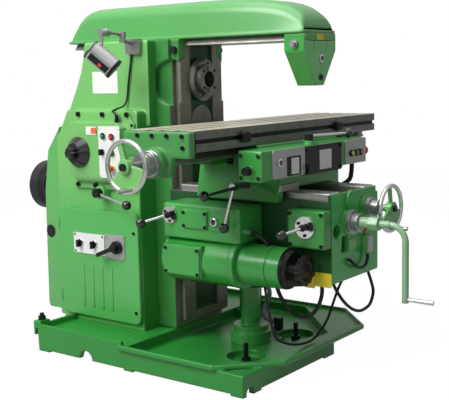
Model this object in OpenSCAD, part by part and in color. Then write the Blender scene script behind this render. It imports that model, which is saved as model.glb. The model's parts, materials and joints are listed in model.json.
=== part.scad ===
// Horizontal knee-type milling machine with overarm, arbor support and power feeds.
// X runs to the operator's right, Y from the operator to the column, Z up.
// The origin is on the floor, in the machine's mid-plane, at the face of the column ways.

/* [Table] */
// Length of the table
table_l = 1320; // [1260:10:1400]
// Width of the table
table_w = 320; // [300:2:330]
// Height of the table's edge
table_t = 77; // [70:1:84]
// Height of the table's top above the floor
table_z = 1012; // [990:1:1040]
// Distance from the column ways to the table's centre line
table_y = 334; // [330:1:344]
// Width of a T-slot's mouth
slot_w = 18; // [14:1:22]
// Distance between T-slots
slot_pitch = 70; // [62:1:80]

/* [Spindle] */
// Height of the spindle axis above the floor
spindle_z = 1187; // [1175:1:1215]
// Diameter of the spindle nose
nose_d = 128.57; // [122:0.01:134]
// Large diameter of the spindle taper
taper_d = 69.85; // [60:0.01:74]
// Reach of the spindle nose in front of the ways
nose_reach = 44; // [38:1:52]

/* [Overarm] */
// Length of the overarm
arm_l = 1300; // [1240:10:1360]
// Width of the overarm's flange
arm_w = 250; // [240:2:262]
// Height of the overarm above the column
arm_h = 146; // [134:1:160]
// Reach of the overarm in front of the ways
arm_reach = 605; // [590:1:625]
// Distance from the spindle axis to the top of the column
throat = 173; // [168:1:184]
// Depth of the arbor support
support_t = 93; // [80:1:104]

/* [Column] */
// Width of the lower column
column_w = 540; // [520:2:560]
// Depth of the column behind its ways
column_d = 648; // [640:1:664]
// Width of the dovetail ways
way_w = 306; // [300:2:316]
// Thickness of the cabinet door
door_t = 20; // [14:1:26]

/* [Base] */
// Width of the base
base_w = 1010; // [980:10:1060]
// Length of the base behind the ways
base_back = 570; // [550:5:600]
// Reach of the tray in front of the ways
tray_front = 628; // [600:2:650]
// Height of the tray's rim
rim_h = 107; // [98:1:112]
// Height of the tray's floor
tray_z = 50; // [44:1:56]
// Height of the deck that carries the column
deck_z = 95; // [90:1:100]

/* [Knee and saddle] */
// Width of the knee
knee_w = 376; // [370:2:380]
// Reach of the knee in front of the ways
knee_l = 762; // [750:1:780]
// Height of the knee at its front
knee_h = 325; // [315:1:335]
// Height of the saddle between the knee and the table
saddle_h = 187; // [182:1:196]
// Diameter of the feed motor
motor_d = 164; // [150:1:172]

/* [Controls] */
// Diameter of the handwheels
wheel_d = 196; // [180:2:204]
// Diameter of the levers' rods
rod_d = 12; // [9:0.5:14]
// Diameter of the levers' black balls
ball_d = 31; // [26:1:34]
// Throw of the vertical feed's crank
crank_r = 281; // [250:1:290]

/* [Hidden] */
$fn = 48;
// Gap between faces that slide past each other
slide_gap = 0.5;
// Radial clearance of a shaft in its bore
shaft_gap = 0.05;
// Gap between a button and its bezel
button_gap = 0.3;
// Wall of the larger castings
wall = 24;

// Places of the main pieces
t0 = table_z - table_t;
ty = -table_y;
tl = table_l / 2;
tw = table_w / 2;
rail_h = 28;
rail_z = t0 - saddle_h;
knee_top = rail_z - rail_h;
knee_low = knee_top - knee_h;
knee_back_low = knee_low - 65;
kw = knee_w / 2;
cw = column_w / 2;
uw = cw - 55;
col_top = spindle_z + throat;
way_t = 45;
way_in = 32;
way_low = 130;
body_y = 140;
shoulder_z = 1062;
neck_w = way_w / 2 + 12;
head_w = 107;
head_z = col_top - 96;
bw = base_w / 2;
base_front = tray_front - 65;
base_cut = 340;
tray_w = bw + 12;
tray_cut = 205;
tray_back = 70;
rim_t = 12;
deck_rim = deck_z + 25;
ped_y = -240;
ped_top = 480;
screw_d = 40;
screw_z = t0 - 38;
lift_d = 50;
arm_dove = 28;
arm_dove_w = 112;
arm_dove_in = 20;
saddle_w = 300;
saddle_deck = t0 - 85;
box_front = ty - 276;
box_back = ty - 170;
box_low = t0 - 127;
box_top = t0 - 10;
box_left = -425;
box_right = 365;
side_x = -cw - 52;
panel_x = side_x - 4;
door_x = -cw - door_t;
door_low = deck_rim + 5;
ledge_z = rim_h - 21;
door_h = 495;
door_front = body_y + 2;
door_back = column_d - 15;
dial_y = 448;
dial_z = 879;
lever_y = 343;
lever_z = 703;
motor_x = -30;
motor_z = 677;
feed_x = -kw - motor_d / 2 - 2;
feed_z = knee_low + 67;
gear_x = feed_x - 80;
gear_front = -398;
motor_front = gear_front - 27;
motor_l = 197;
cover_h = 24;
gear_pad = feed_x - 100;
cross_x = 85;
cross_z = knee_top - 52;
crank_x = -60;
crank_z = knee_top - 92;
crank_y = -knee_l - 245;
shaft_d = 28;
post_x = -59;
post_y = box_front + 25;
lamp_x = -uw - 70;
lamp_y = 195;
lamp_z = col_top + 20;
lamp_reach = 102;
bezel_d = 28;
cap_d = 18;

// Routes of the free cables and of the hose
left_route = [[-242, -540, 387], [-228, -552, 335], [-196, -580, 268], [-160, -620, 246],
              [-136, -655, 270], [-130, -680, 330], [-144, -690, 385], [-163, -694, 412]];
low_route = [[-290, -520, 384], [-304, -545, 300], [-283, -560, 190], [-205, -560, 140], [-110, -560, 112],
             [-20, -562, 106], [45, -566, 130], [85, -580, 180], [90, -604, 250], [70, -645, 330],
             [44, -695, 394], [36, -727, 414]];
right_route = [[130, -745, 392], [160, -745, 340], [176, -745, 296], [150, -745, 252], [100, -745, 239],
               [50, -745, 242], [-10, -744, 266], [-70, -740, 312], [-104, -724, 370], [-110, -712, 410],
               [-110, -727, 434]];
hose_route = [[345, -38, 235], [350, -60, 228], [362, -84, 200], [356, -97, 164], [330, -101, 133],
              [298, -106, 110], [266, -122, 95], [240, -150, 87], [221, -187, 84], [212, -227, 84]];
lamp_route = [[-222, 204, 1301], [-222, 214, 1250], [-222, 230, 1170], [-222, 240, 1110], [-232, 252, 1080],
              [-262, 268, 1068], [-292, 262, 1060], [-300, 240, 1050], [-300, 232, 1036]];

// Block between two corners, given as ranges
module bar(x, y, z) {
  translate([x[0], y[0], z[0]]) cube([x[1] - x[0], y[1] - y[0], z[1] - z[0]]);
}

// Cylinders along the three axes
module along_x(x, y, z, d) {
  translate([x[0], y, z]) rotate([0, 90, 0]) cylinder(d = d, h = x[1] - x[0]);
}

module along_y(x, y, z, d) {
  translate([x, y[1], z]) rotate([90, 0, 0]) cylinder(d = d, h = y[1] - y[0]);
}

module along_z(x, y, z, d) {
  translate([x, y, z[0]]) cylinder(d = d, h = z[1] - z[0]);
}

// Round rod from p to q
module rod(p, q, d) {
  v = q - p;
  turn = atan2(v[1], v[0]);
  tilt = acos(v[2] / norm(v));
  translate(p) rotate([0, tilt, turn]) cylinder(d = d, h = norm(v));
}

// Outline in Y and Z, drawn out along X
module side_slab(x, points) {
  translate([x[0], 0, 0]) rotate([90, 0, 90]) linear_extrude(x[1] - x[0]) polygon(points);
}

// Outline in X and Z, drawn out along Y
module front_slab(y, points) {
  translate([0, y[1], 0]) rotate([90, 0, 0]) linear_extrude(y[1] - y[0]) polygon(points);
}

// Stands a flat drawing on a face that looks left, forward or right
module on_left(x, y, z) {
  translate([x, y, z]) rotate([90, 0, -90]) children();
}

module on_front(x, y, z) {
  translate([x, y, z]) rotate([90, 0, 0]) children();
}

module on_right(x, y, z) {
  translate([x, y, z]) rotate([90, 0, 90]) children();
}

// Plate with rounded corners, centred, standing on the drawing plane
module round_plate(w, h, r, t) {
  linear_extrude(t) {
    square([w - 2 * r, h], center = true);
    square([w, h - 2 * r], center = true);
    for (sx = [-1, 1], sy = [-1, 1]) {
      translate([sx * (w / 2 - r), sy * (h / 2 - r)]) circle(r);
    }
  }
}

// Socket-head screw standing on the drawing plane
module cap_screw(d, h) {
  difference() {
    cylinder(d = d, h = h);
    translate([0, 0, h * 0.4]) cylinder(d = d * 0.55, h = h, $fn = 6);
  }
}

// Push button cap and the bezel that guides it
module button_cap() {
  translate([0, 0, 5]) cylinder(d = cap_d, h = 9);
}

module bezel() {
  difference() {
    cylinder(d = bezel_d, h = 9);
    translate([0, 0, -1]) cylinder(d = cap_d + 2 * button_gap, h = 11);
  }
}

// Mushroom stop button with its stem
module mushroom() {
  translate([0, 0, 5]) cylinder(d = cap_d, h = 14);
  translate([0, 0, 17]) cylinder(d1 = 30, d2 = 38, h = 6);
  translate([0, 0, 23]) cylinder(d1 = 38, d2 = 28, h = 7);
}

// Turned selector: round foot with a finger grip
module selector(d, h) {
  cylinder(d = d, h = h * 0.45);
  translate([-d * 0.16, -d * 0.55, 0]) cube([d * 0.32, d * 1.1, h]);
}

// Black ball of a lever
module ball(p) {
  translate(p) sphere(d = ball_d);
}

// Handwheel about its own Z axis: rim, wide sector with the handle, one spoke and a hub
module handwheel(d, handle) {
  rim_d = 17;
  reach = d / 2 - rim_d / 2;
  spread = 64;
  rotate_extrude() translate([reach, 0]) circle(d = rim_d);
  translate([0, 0, -4]) linear_extrude(8) {
    intersection() {
      circle(reach);
      polygon([[14, 0], d * [-cos(spread), sin(spread)], [-2 * d, d], [-2 * d, -d],
               d * [-cos(spread), -sin(spread)]]);
    }
    translate([0, -11]) square([reach, 22]);
  }
  translate([0, 0, -14]) cylinder(d = 52, h = 28);
  translate([0, 0, 13]) cylinder(d = 26, h = 10);
  translate([-d * 0.41, 0, 0]) cylinder(d1 = 13, d2 = 17, h = handle);
}

// Unit vector, and the direction of a route at a point
function unit(v) = v / norm(v);
function lead(p, i) = unit(p[min(i + 1, len(p) - 1)] - p[max(i - 1, 0)]);

// Points spaced evenly along a smooth curve through a route
function spline(a, b, c, d, u) = 0.5 * ((2 * b) + (c - a) * u + (2 * a - 5 * b + 4 * c - d) * u * u
  + (3 * b - a - 3 * c + d) * u * u * u);
function smooth(p, k) = concat([for (i = [0 : len(p) - 2], j = [0 : k - 1])
  spline(p[max(i - 1, 0)], p[i], p[i + 1], p[min(i + 2, len(p) - 1)], j / k)], [p[len(p) - 1]]);

// Frames carried along the curve so that a swept tube doesn't twist
function carry(p, i, s) = let (t = lead(p, i)) unit(s - t * (s * t));
function frames(p, i = 0, s = [0, 1, 0.2]) = i == len(p) ? []
  : let (f = carry(p, i, s)) concat([f], frames(p, i + 1, f));
function hoop(p, t, s, r, n) = [for (k = [0 : n - 1])
  p + r * cos(360 * k / n) * s + r * sin(360 * k / n) * cross(t, s)];

// Solid round tube swept through points
module cable(points, d, n) {
  f = frames(points);
  m = len(points);
  skin = [for (i = [0 : m - 1]) each hoop(points[i], lead(points, i), f[i], d / 2, n)];
  walls = [for (i = [0 : m - 2], k = [0 : n - 1]) each let (a = i * n + k, b = i * n + (k + 1) % n)
    [[a, b, b + n], [a, b + n, a + n]]];
  caps = [for (k = [1 : n - 2]) each [[0, k + 1, k], [(m - 1) * n, (m - 1) * n + k, (m - 1) * n + k + 1]]];
  polyhedron(points = skin, faces = [for (t = concat(walls, caps)) [t[2], t[1], t[0]]]);
}

// Ribbed hose with a bore, swept through points
module ribbed_hose(points, d, bore, rib, n) {
  f = frames(points);
  m = len(points);
  function radius(i) = (i % 2 == 0 || i < 2 || i > m - 3) ? d / 2 - rib : d / 2;
  outer = [for (i = [0 : m - 1]) each hoop(points[i], lead(points, i), f[i], radius(i), n)];
  inner = [for (i = [0 : m - 1]) each hoop(points[i], lead(points, i), f[i], bore / 2, n)];
  o = m * n;
  walls = [for (i = [0 : m - 2], k = [0 : n - 1]) each let (a = i * n + k, b = i * n + (k + 1) % n)
    [[a, b + n, b], [a, a + n, b + n], [a + o, b + o, b + n + o], [a + o, b + n + o, a + n + o]]];
  e = (m - 1) * n;
  ends = [for (k = [0 : n - 1]) each let (b = (k + 1) % n)
    [[k, b, b + o], [k, b + o, k + o], [e + k, e + b + o, e + b], [e + k, e + k + o, e + b + o]]];
  polyhedron(points = concat(outer, inner), faces = concat(walls, ends));
}

// Plan of the base's skirt, drawn in by i
module skirt_plan(i) {
  polygon([[-bw + i, base_back - i], [-bw + i, -base_front + i],
           [bw - base_cut - 0.414 * i, -base_front + i],
           [bw - i, -base_front + base_cut + 0.414 * i], [bw - i, base_back - i]]);
}

// Plan of the tray with its cut corners, drawn in by i
module tray_plan(i) {
  polygon([[-tray_w + i, tray_back], [-tray_w + i, -tray_front + tray_cut + 0.414 * i],
           [-tray_w + tray_cut + 0.414 * i, -tray_front + i],
           [tray_w - tray_cut - 0.414 * i, -tray_front + i],
           [tray_w - i, -tray_front + tray_cut + 0.414 * i], [tray_w - i, tray_back]]);
}

anchor_front = [190, -350];
anchor_back = [bw - 32, base_back + 4];
drain_at = [130, -372];
floor_t = 14;
lug_top = deck_rim + 14;

// Left half of the base's rear: deck walls, rims and the lug of the anchor bolt
module base_rear_half() {
  bar([-bw, -bw + wall], [tray_back, base_back], [tray_z - 1, deck_z]);
  bar([-bw, -bw + 14], [tray_back - 10, base_back], [deck_z - 1, deck_rim]);
  bar([-bw, -cw - 4], [base_back - 14, base_back], [deck_z - 1, deck_rim]);
  bar([-bw, -bw + 60], [base_back - 16, base_back + 28], [deck_rim - 20, lug_top]);
  bar([-bw, -bw + 60], [base_back + 14, base_back + 28], [deck_rim - 50, lug_top]);
}

module base() {
  color([0.16, 0.50, 0.22]) difference() {
    union() {
      difference() {
        linear_extrude(ledge_z) skirt_plan(0);
        translate([0, 0, -1]) linear_extrude(ledge_z + 2) skirt_plan(wall);
      }
      translate([0, 0, tray_z - floor_t]) linear_extrude(floor_t) skirt_plan(wall - 1);
      translate([0, 0, ledge_z]) linear_extrude(8) difference() {
        tray_plan(0);
        skirt_plan(wall);
      }
      translate([0, 0, ledge_z]) linear_extrude(rim_h - ledge_z) difference() {
        tray_plan(0);
        tray_plan(rim_t);
      }
      bar([-bw, bw], [tray_back - 20, tray_back], [tray_z - floor_t, deck_z]);
      bar([-bw, bw], [tray_back - 20, base_back], [deck_z - 22, deck_z]);
      bar([-bw, bw], [base_back - wall, base_back], [tray_z - 1, deck_z]);
      base_rear_half();
      mirror([1, 0, 0]) base_rear_half();
      for (s = [-1, 1]) {
        along_z(s * anchor_front[0], anchor_front[1], [8, tray_z - floor_t + 1], 190);
      }
      along_z(0, ped_y, [tray_z - floor_t - 20, tray_z], 170);
      bar([-60, 60], [-30, 30], [0, tray_z]);
    }
    for (s = [-1, 1]) {
      along_z(s * anchor_front[0], anchor_front[1], [24, tray_z + 1], 160);
      along_z(s * anchor_front[0], anchor_front[1], [-1, 25], 24);
      along_z(s * anchor_back[0], anchor_back[1], [tray_z, lug_top + 1], 24);
      along_x([s * bw - wall - 1, s * bw + wall + 1], 270, 8, 76);
      for (y = [[-base_front + 60, 0], [50, base_back - 70]]) {
        bar([s * bw - wall - 1, s * bw + wall + 1], y, [-1, 8]);
      }
    }
    along_y(-bw + 46, [-base_front - 1, -base_front + wall + 1], 8, 48);
    bar([-bw + 120, bw - base_cut - 80], [-base_front - 1, -base_front + wall + 1], [-1, 8]);
    bar([-bw + 110, bw - 110], [base_back - wall - 1, base_back + 1], [-1, 8]);
    translate([drain_at[0], drain_at[1], tray_z - floor_t - 1]) intersection() {
      cylinder(d = 130, h = floor_t + 2);
      translate([-65, -38, 0]) cube([130, 76, floor_t + 2]);
    }
  }
}

module pedestal() {
  color([0.22, 0.60, 0.30]) difference() {
    union() {
      along_z(0, ped_y, [tray_z, tray_z + 52], 174);
      along_z(0, ped_y, [tray_z + 51, tray_z + 78], 154);
      along_z(0, ped_y, [tray_z + 77, ped_top], 84);
    }
    along_z(0, ped_y, [tray_z + 6, ped_top + 1], lift_d + 2 * shaft_gap);
  }
}

module anchor_bolts() {
  color([0.16, 0.16, 0.17]) {
    for (s = [-1, 1]) {
      along_z(s * anchor_front[0], anchor_front[1], [10, tray_z + 52], 20);
      translate([s * anchor_front[0], anchor_front[1], 24]) cylinder(d = 40, h = 18, $fn = 6);
      along_z(s * anchor_back[0], anchor_back[1], [tray_z + 10, lug_top + 30], 20);
      translate([s * anchor_back[0], anchor_back[1], lug_top]) cylinder(d = 36, h = 17, $fn = 6);
    }
  }
}

// Cross-section of the overarm's dovetail, widened by g
module arm_dovetail(y, g) {
  front_slab(y, [[-arm_dove_w - g, col_top - arm_dove - g], [arm_dove_w + g, col_top - arm_dove - g],
                 [arm_dove_w - arm_dove_in + g, col_top], [-arm_dove_w + arm_dove_in - g, col_top]]);
}

module column() {
  half = way_w / 2;
  ear = half - 3;
  color([0.25, 0.66, 0.33]) difference() {
    union() {
      side_slab([-cw, cw], [[body_y, deck_z], [column_d, deck_z], [column_d, shoulder_z - 112],
                            [column_d - 62, shoulder_z - 18], [column_d - 88, shoulder_z],
                            [body_y + 14, shoulder_z], [body_y, shoulder_z - 14]]);
      side_slab([-uw, uw], [[body_y - 22, shoulder_z - 70], [column_d - 34, shoulder_z - 70],
                            [column_d - 34, shoulder_z], [column_d - 52, shoulder_z + 36],
                            [column_d - 84, shoulder_z + 95], [column_d - 118, spindle_z + 43],
                            [column_d - 138, spindle_z + 110], [column_d - 146, col_top],
                            [body_y - 22, col_top]]);
      bar([-neck_w, neck_w], [way_t, body_y + 10], [deck_z, col_top]);
      intersection() {
        translate([0, 0, way_low]) linear_extrude(col_top - way_low) {
          polygon([[-half, 0], [half, 0], [half - way_in, way_t + 1], [-half + way_in, way_t + 1]]);
        }
        front_slab([-1, way_t + 2], [[-half, way_low], [half, way_low], [half, head_z],
                                     [head_w, head_z + 20], [head_w, col_top], [-head_w, col_top],
                                     [-head_w, head_z + 20], [-half, head_z]]);
      }
      for (s = [-1, 1]) {
        front_slab([0.5, way_t + 1], [[s * ear, head_z + 4], [s * (head_w - 1), head_z + 24],
                                      [s * (head_w - 1), col_top], [s * ear, col_top]]);
      }
    }
    for (s = [-1, 1]) {
      along_x(s > 0 ? [neck_w - 22, neck_w + 1] : [-neck_w - 1, 22 - neck_w], way_t, spindle_z - 10, 196);
    }
    bar([-77, 77], [-1, 12], [way_low + 40, col_top + 1]);
    along_y(0, [-1, 72], spindle_z, 150);
    along_y(0, [71, column_d], spindle_z, 122);
    along_y(0, [column_d - 148, column_d], spindle_z, 140);
    arm_dovetail([-2, column_d + 1], slide_gap);
    bar([-cw - 1, cw - 40], [body_y + 34, column_d - 40], [door_low + 20, door_low + door_h - 25]);
    bar([-uw + 30, uw - 30], [215, column_d - 176], [lever_z - 20, col_top - 50]);
    along_y(motor_x, [column_d - 160, column_d + 1], motor_z, 201);
  }
  color([0.33, 0.33, 0.34]) along_y(0, [4, 12], spindle_z - 182, 142);
}

module rear_cover() {
  low = deck_z + 27;
  half = cw - 18;
  color([0.25, 0.66, 0.33]) difference() {
    side_slab([-half, half], [[column_d, deck_z], [column_d + 36, deck_z], [column_d + 36, low],
                              [column_d + 112, low], [column_d + 124, low + 30], [column_d + 112, 700],
                              [column_d + 82, 874], [column_d, shoulder_z - 78]]);
    side_slab([-half + 6, half - 6], [[column_d - 1, low + 6], [column_d + 108, low + 6],
                                      [column_d + 118, low + 31], [column_d + 106, 699],
                                      [column_d + 77, 871], [column_d - 1, shoulder_z - 87]]);
    along_y(motor_x, [column_d + 60, column_d + 200], motor_z, 246);
    along_x([-half - 1, -half + 7], column_d + 6, 520, 52);
    along_x([-half - 1, -half + 7], column_d + 84, 490, 60);
  }
}

module main_motor() {
  color([0.20, 0.21, 0.22]) {
    along_y(motor_x, [column_d - 60, column_d], motor_z, 200);
    along_y(motor_x, [column_d, column_d + 18], motor_z, 232);
    along_y(motor_x, [column_d + 17, column_d + 235], motor_z, 216);
    translate([motor_x, column_d + 234, motor_z]) rotate([-90, 0, 0]) rotate_extrude() {
      difference() {
        square([120, 132]);
        translate([120, 132]) circle(26);
        for (i = [0 : 2]) {
          translate([116, 14 + 14 * i]) square([5, 6]);
        }
      }
    }
  }
}

// Outline of a spur gear: each tooth rises, runs along its tip and falls to the root
tooth_at = [0, 0.18, 0.5, 0.68];
function tooth_r(k, r, h) = (k == 1 || k == 2) ? r + h : r;
function teeth(n, r, h) = [for (i = [0 : n - 1], k = [0 : 3]) let (a = 360 * (i + tooth_at[k]) / n)
  tooth_r(k, r, h) * [cos(a), sin(a)]];

module spindle() {
  key = [25.4, 20];
  key_in = taper_d / 2 + 2;
  body_l = column_d - 120;
  color([0.22, 0.22, 0.23]) translate([0, -nose_reach, spindle_z]) rotate([-90, 0, 0]) difference() {
    union() {
      cylinder(d = nose_d, h = nose_reach + 18);
      cylinder(d = 100, h = nose_reach + body_l);
      translate([0, 0, nose_reach + 290]) linear_extrude(50) polygon(teeth(60, 108, 8));
    }
    translate([0, 0, -0.01]) cylinder(d1 = taper_d, d2 = taper_d - 100 * 7 / 24, h = 100);
    cylinder(d = 27, h = nose_reach + body_l + 1);
    for (a = [45 : 90 : 315]) {
      rotate(a) translate([101.6 / 2, 0, -1]) cylinder(d = 14, h = 31);
    }
  }
  color([0.12, 0.12, 0.13]) translate([0, 0, spindle_z]) for (a = [0, 180]) {
    rotate([0, a, 0]) {
      bar([-key[0] / 2, key[0] / 2], [-nose_reach - 8, -nose_reach + 8], [key_in, key_in + key[1]]);
    }
  }
}

module spindle_bearings() {
  color([0.40, 0.40, 0.41]) {
    for (y = [[20, 70], [column_d - 148, column_d - 121]]) {
      difference() {
        along_y(0, y, spindle_z, y[0] < 100 ? 150 : 140);
        along_y(0, [y[0] - 1, y[1] + 1], spindle_z, 100 + 2 * shaft_gap);
      }
    }
    translate([0, 12, spindle_z]) rotate([90, 0, 0]) difference() {
      union() {
        cylinder(d = 150, h = 13);
        translate([0, 0, 12]) cylinder(d = 186, h = 10);
        translate([0, 0, 22]) cylinder(d1 = 186, d2 = 160, h = 12);
      }
      translate([0, 0, -1]) cylinder(d = nose_d + 2, h = 40);
    }
  }
}

module speed_box() {
  y = [150, 525];
  color([0.25, 0.66, 0.33]) {
    side_slab([-cw - 14, -cw], [[y[0], 715], [y[1], 715], [y[1], 1005], [y[1] - 40, shoulder_z - 4],
                                [y[0] + 40, shoulder_z - 4], [y[0], 1005]]);
    side_slab([side_x, -cw - 13], [[y[0] + 45, 772], [y[0] + 72, 745], [y[1] - 40, 745], [y[1] - 8, 775],
                                   [y[1] - 8, 985], [y[1] - 34, 1012], [y[0] + 70, 1012], [y[0] + 45, 988]]);
    along_x([-cw - 40, -cw], lever_y, lever_z, 58);
  }
  color([0.85, 0.85, 0.83]) along_z(-300, 232, [1011, 1026], 20);
  color([0.10, 0.10, 0.10]) along_z(-300, 232, [1026, 1044], 16);
}

module speed_dial() {
  color([0.06, 0.06, 0.06]) on_left(side_x, dial_y, dial_z) {
    cylinder(d = 136, h = 8);
    translate([0, 0, 7]) cylinder(d1 = 132, d2 = 84, h = 30);
    translate([0, 0, 36]) linear_extrude(30) {
      circle(21);
      for (a = [0 : 45 : 315]) {
        rotate(a) translate([20, 0]) circle(6);
      }
    }
  }
}

module speed_lever() {
  hub = [-cw - 54, lever_y, lever_z];
  tip = [-cw - 72, lever_y - 190, lever_z - 40];
  color([0.75, 0.75, 0.77]) rod(hub, tip, rod_d);
  color([0.10, 0.10, 0.10]) along_x([-cw - 68, -cw - 40], lever_y, lever_z, 40);
  color([0.05, 0.05, 0.05]) ball(tip);
}

panel_w = 126;
panel_h = 224;
panel_y = 258;
panel_zc = 885;
start_at = [289, 955];
stop_at = [238, 952];
pick_at = [299, 885];
jog_at = [239, 883];
estop_at = [240, 817];

module control_panel() {
  color([0.90, 0.90, 0.88]) on_left(side_x, panel_y, panel_zc) round_plate(panel_w, panel_h, 8, 4);
  color([0.12, 0.12, 0.12]) {
    for (p = [start_at, stop_at, jog_at]) {
      on_left(panel_x, p[0], p[1]) bezel();
    }
    for (sy = [-1, 1], sz = [-1, 1]) {
      on_left(panel_x, panel_y + sy * (panel_w / 2 - 10), panel_zc + sz * (panel_h / 2 - 10)) {
        cap_screw(8, 3);
      }
    }
  }
  color([0.90, 0.75, 0.10]) on_left(panel_x, estop_at[0], estop_at[1]) bezel();
}

module start_button() {
  color([0.10, 0.60, 0.45]) on_left(panel_x, start_at[0], start_at[1]) button_cap();
}

module stop_button() {
  color([0.90, 0.25, 0.15]) on_left(panel_x, stop_at[0], stop_at[1]) button_cap();
}

module jog_button() {
  color([0.92, 0.85, 0.10]) on_left(panel_x, jog_at[0], jog_at[1]) button_cap();
}

module panel_estop() {
  color([0.85, 0.15, 0.08]) on_left(panel_x, estop_at[0], estop_at[1]) mushroom();
}

module panel_selector() {
  color([0.06, 0.06, 0.06]) on_left(panel_x, pick_at[0], pick_at[1]) selector(24, 22);
}

module column_fittings() {
  color([0.93, 0.93, 0.92]) {
    on_left(-uw, 375, 1182) round_plate(154, 96, 4, 2);
    on_left(side_x, 368, 976) round_plate(60, 36, 2, 2);
  }
  color([0.15, 0.17, 0.15]) {
    for (y = [186, 330, 480]) {
      on_left(-cw - 14, y, shoulder_z - 17) cap_screw(22, 8);
    }
    for (y = [388, 497]) {
      on_left(-cw - 14, y, 731) cap_screw(22, 8);
    }
    for (y = [160, 513]) {
      on_left(-cw - 14, y, 1000) cap_screw(12, 4);
    }
    for (x = [-way_w / 2 - 14, way_w / 2 - 3]) {
      along_x([x, x + 17], 24, col_top - 46, 32);
    }
  }
}

// Door outline and the places of its switches
door_w = door_back - door_front;
door_y = (door_front + door_back) / 2;
door_z = door_low + door_h / 2;
plate_t = 4;
knob_y = [492, 404];
switch_at = [262, 463];

module cabinet_door() {
  color([0.27, 0.68, 0.34]) {
    difference() {
      on_left(-cw, door_y, door_z) round_plate(door_w, door_h, 34, door_t);
      for (i = [0 : 3]) {
        translate([door_x - 1, 482 - i * 59, door_low + 50]) cube([5, 7, 185]);
      }
    }
    for (z = [door_low + 80, door_low + door_h - 80]) {
      along_z(door_x, door_back, [z - 26, z + 26], 9);
    }
  }
  color([0.15, 0.17, 0.15]) for (z = [179, 533]) {
    on_left(door_x, door_front + 24, z) cap_screw(13, 5);
  }
}

module switch_plates() {
  color([0.88, 0.88, 0.86]) on_left(door_x, 439, 463) round_plate(192, 92, 4, plate_t);
  color([0.70, 0.70, 0.68]) on_left(door_x, 279, 463) round_plate(116, 106, 3, plate_t);
  color([0.20, 0.20, 0.20]) for (sy = [-1, 1], sz = [-1, 1]) {
    on_left(door_x - plate_t, 439 + sy * 86, 463 + sz * 38) cap_screw(8, 3);
    on_left(door_x - plate_t, 279 + sy * 48, 463 + sz * 44) cap_screw(8, 3);
  }
}

module main_switch() {
  color([0.05, 0.05, 0.05]) on_left(door_x - plate_t, switch_at[0], switch_at[1]) {
    cylinder(d = 58, h = 16);
    translate([0, 0, 15]) cylinder(d = 34, h = 22);
    rotate(-158) translate([0, -9, 26]) cube([105, 18, 11]);
  }
}

module selector_left() {
  color([0.06, 0.06, 0.06]) on_left(door_x - plate_t, knob_y[0], 463) selector(30, 26);
}

module selector_right() {
  color([0.06, 0.06, 0.06]) on_left(door_x - plate_t, knob_y[1], 463) selector(30, 26);
}

module overarm() {
  y0 = -arm_reach;
  y1 = arm_l - arm_reach;
  f = 12;
  top = col_top + arm_h;
  half = arm_w / 2;
  color([0.28, 0.69, 0.35]) {
    translate([0, 0, col_top]) linear_extrude(f) {
      polygon([[-half, y0 + 16], [16 - half, y0], [half - 16, y0], [half, y0 + 16], [half, y1 - 16],
               [half - 16, y1], [16 - half, y1], [-half, y1 - 16]]);
    }
    intersection() {
      side_slab([-half, half], [[y0 + 8, col_top + f - 1], [y0 + 18, col_top + 46], [y0 + 46, col_top + 84],
                                [y0 + 100, col_top + 111], [y0 + 190, top - 16], [y0 + 330, top - 4],
                                [y0 + 470, top], [y1 - 150, top], [y1 - 88, top - 16], [y1 - 46, top - 52],
                                [y1 - 22, col_top + 46], [y1 - 10, col_top + f - 1]]);
      front_slab([y0, y1], [[-half + 8, col_top + f - 1], [half - 8, col_top + f - 1], [half - 16, top - 62],
                            [half - 34, top - 28], [half - 66, top - 8], [half - 100, top],
                            [100 - half, top], [66 - half, top - 8], [34 - half, top - 28],
                            [16 - half, top - 62]]);
    }
  }
  color([0.20, 0.20, 0.20]) arm_dovetail([y0, y1 - 30], 0);
}

module arbor_support() {
  y = [-arm_reach, -arm_reach + support_t];
  low = spindle_z - 32;
  half = arm_w / 2 - 7;
  color([0.25, 0.66, 0.33]) difference() {
    front_slab(y, [[-half, col_top], [half, col_top], [half, col_top - 72], [27, low], [-27, low],
                   [-half, col_top - 72]]);
    arm_dovetail([y[0] - 1, y[1] + 1], slide_gap);
    along_y(0, [y[0] + 8, y[1] + 1], spindle_z, 36);
    for (s = [-1, 1]) {
      bar([s * 46 - 1, s * 46 + 1], [y[0] - 1, y[1] + 1], [col_top - 72, col_top - arm_dove]);
    }
  }
}

module support_fittings() {
  front = -arm_reach;
  half = arm_w / 2 - 7;
  mid = front + support_t / 2;
  color([0.12, 0.12, 0.12]) {
    along_y(0, [front - 5, front], spindle_z, 24);
    along_x([-half - 20, -half - 8], mid, col_top - 42, 22);
  }
  color([0.40, 0.40, 0.42]) along_x([-half - 8, -half], mid, col_top - 42, 36);
  color([0.70, 0.70, 0.72]) on_front(0, front, spindle_z + 75) difference() {
    cylinder(d = 30, h = 5);
    translate([0, 0, 2]) cylinder(d = 18, h = 4);
  }
}

lamp_far = [lamp_x - lamp_reach, lamp_y - 3, lamp_z + 10];

module lamp_bracket() {
  color([0.30, 0.31, 0.31]) {
    side_slab([-uw - 20, -uw], [[150, col_top - 60], [225, col_top - 60], [236, col_top + 4],
                                [148, col_top + 4]]);
    rod([-uw - 10, lamp_y, col_top - 14], [lamp_x, lamp_y, lamp_z - 22], 18);
    along_z(lamp_x, lamp_y, [lamp_z - 16, lamp_z + 14], 16);
    along_z(lamp_x, lamp_y, [lamp_z - 32, lamp_z - 8], 28);
  }
}

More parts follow.
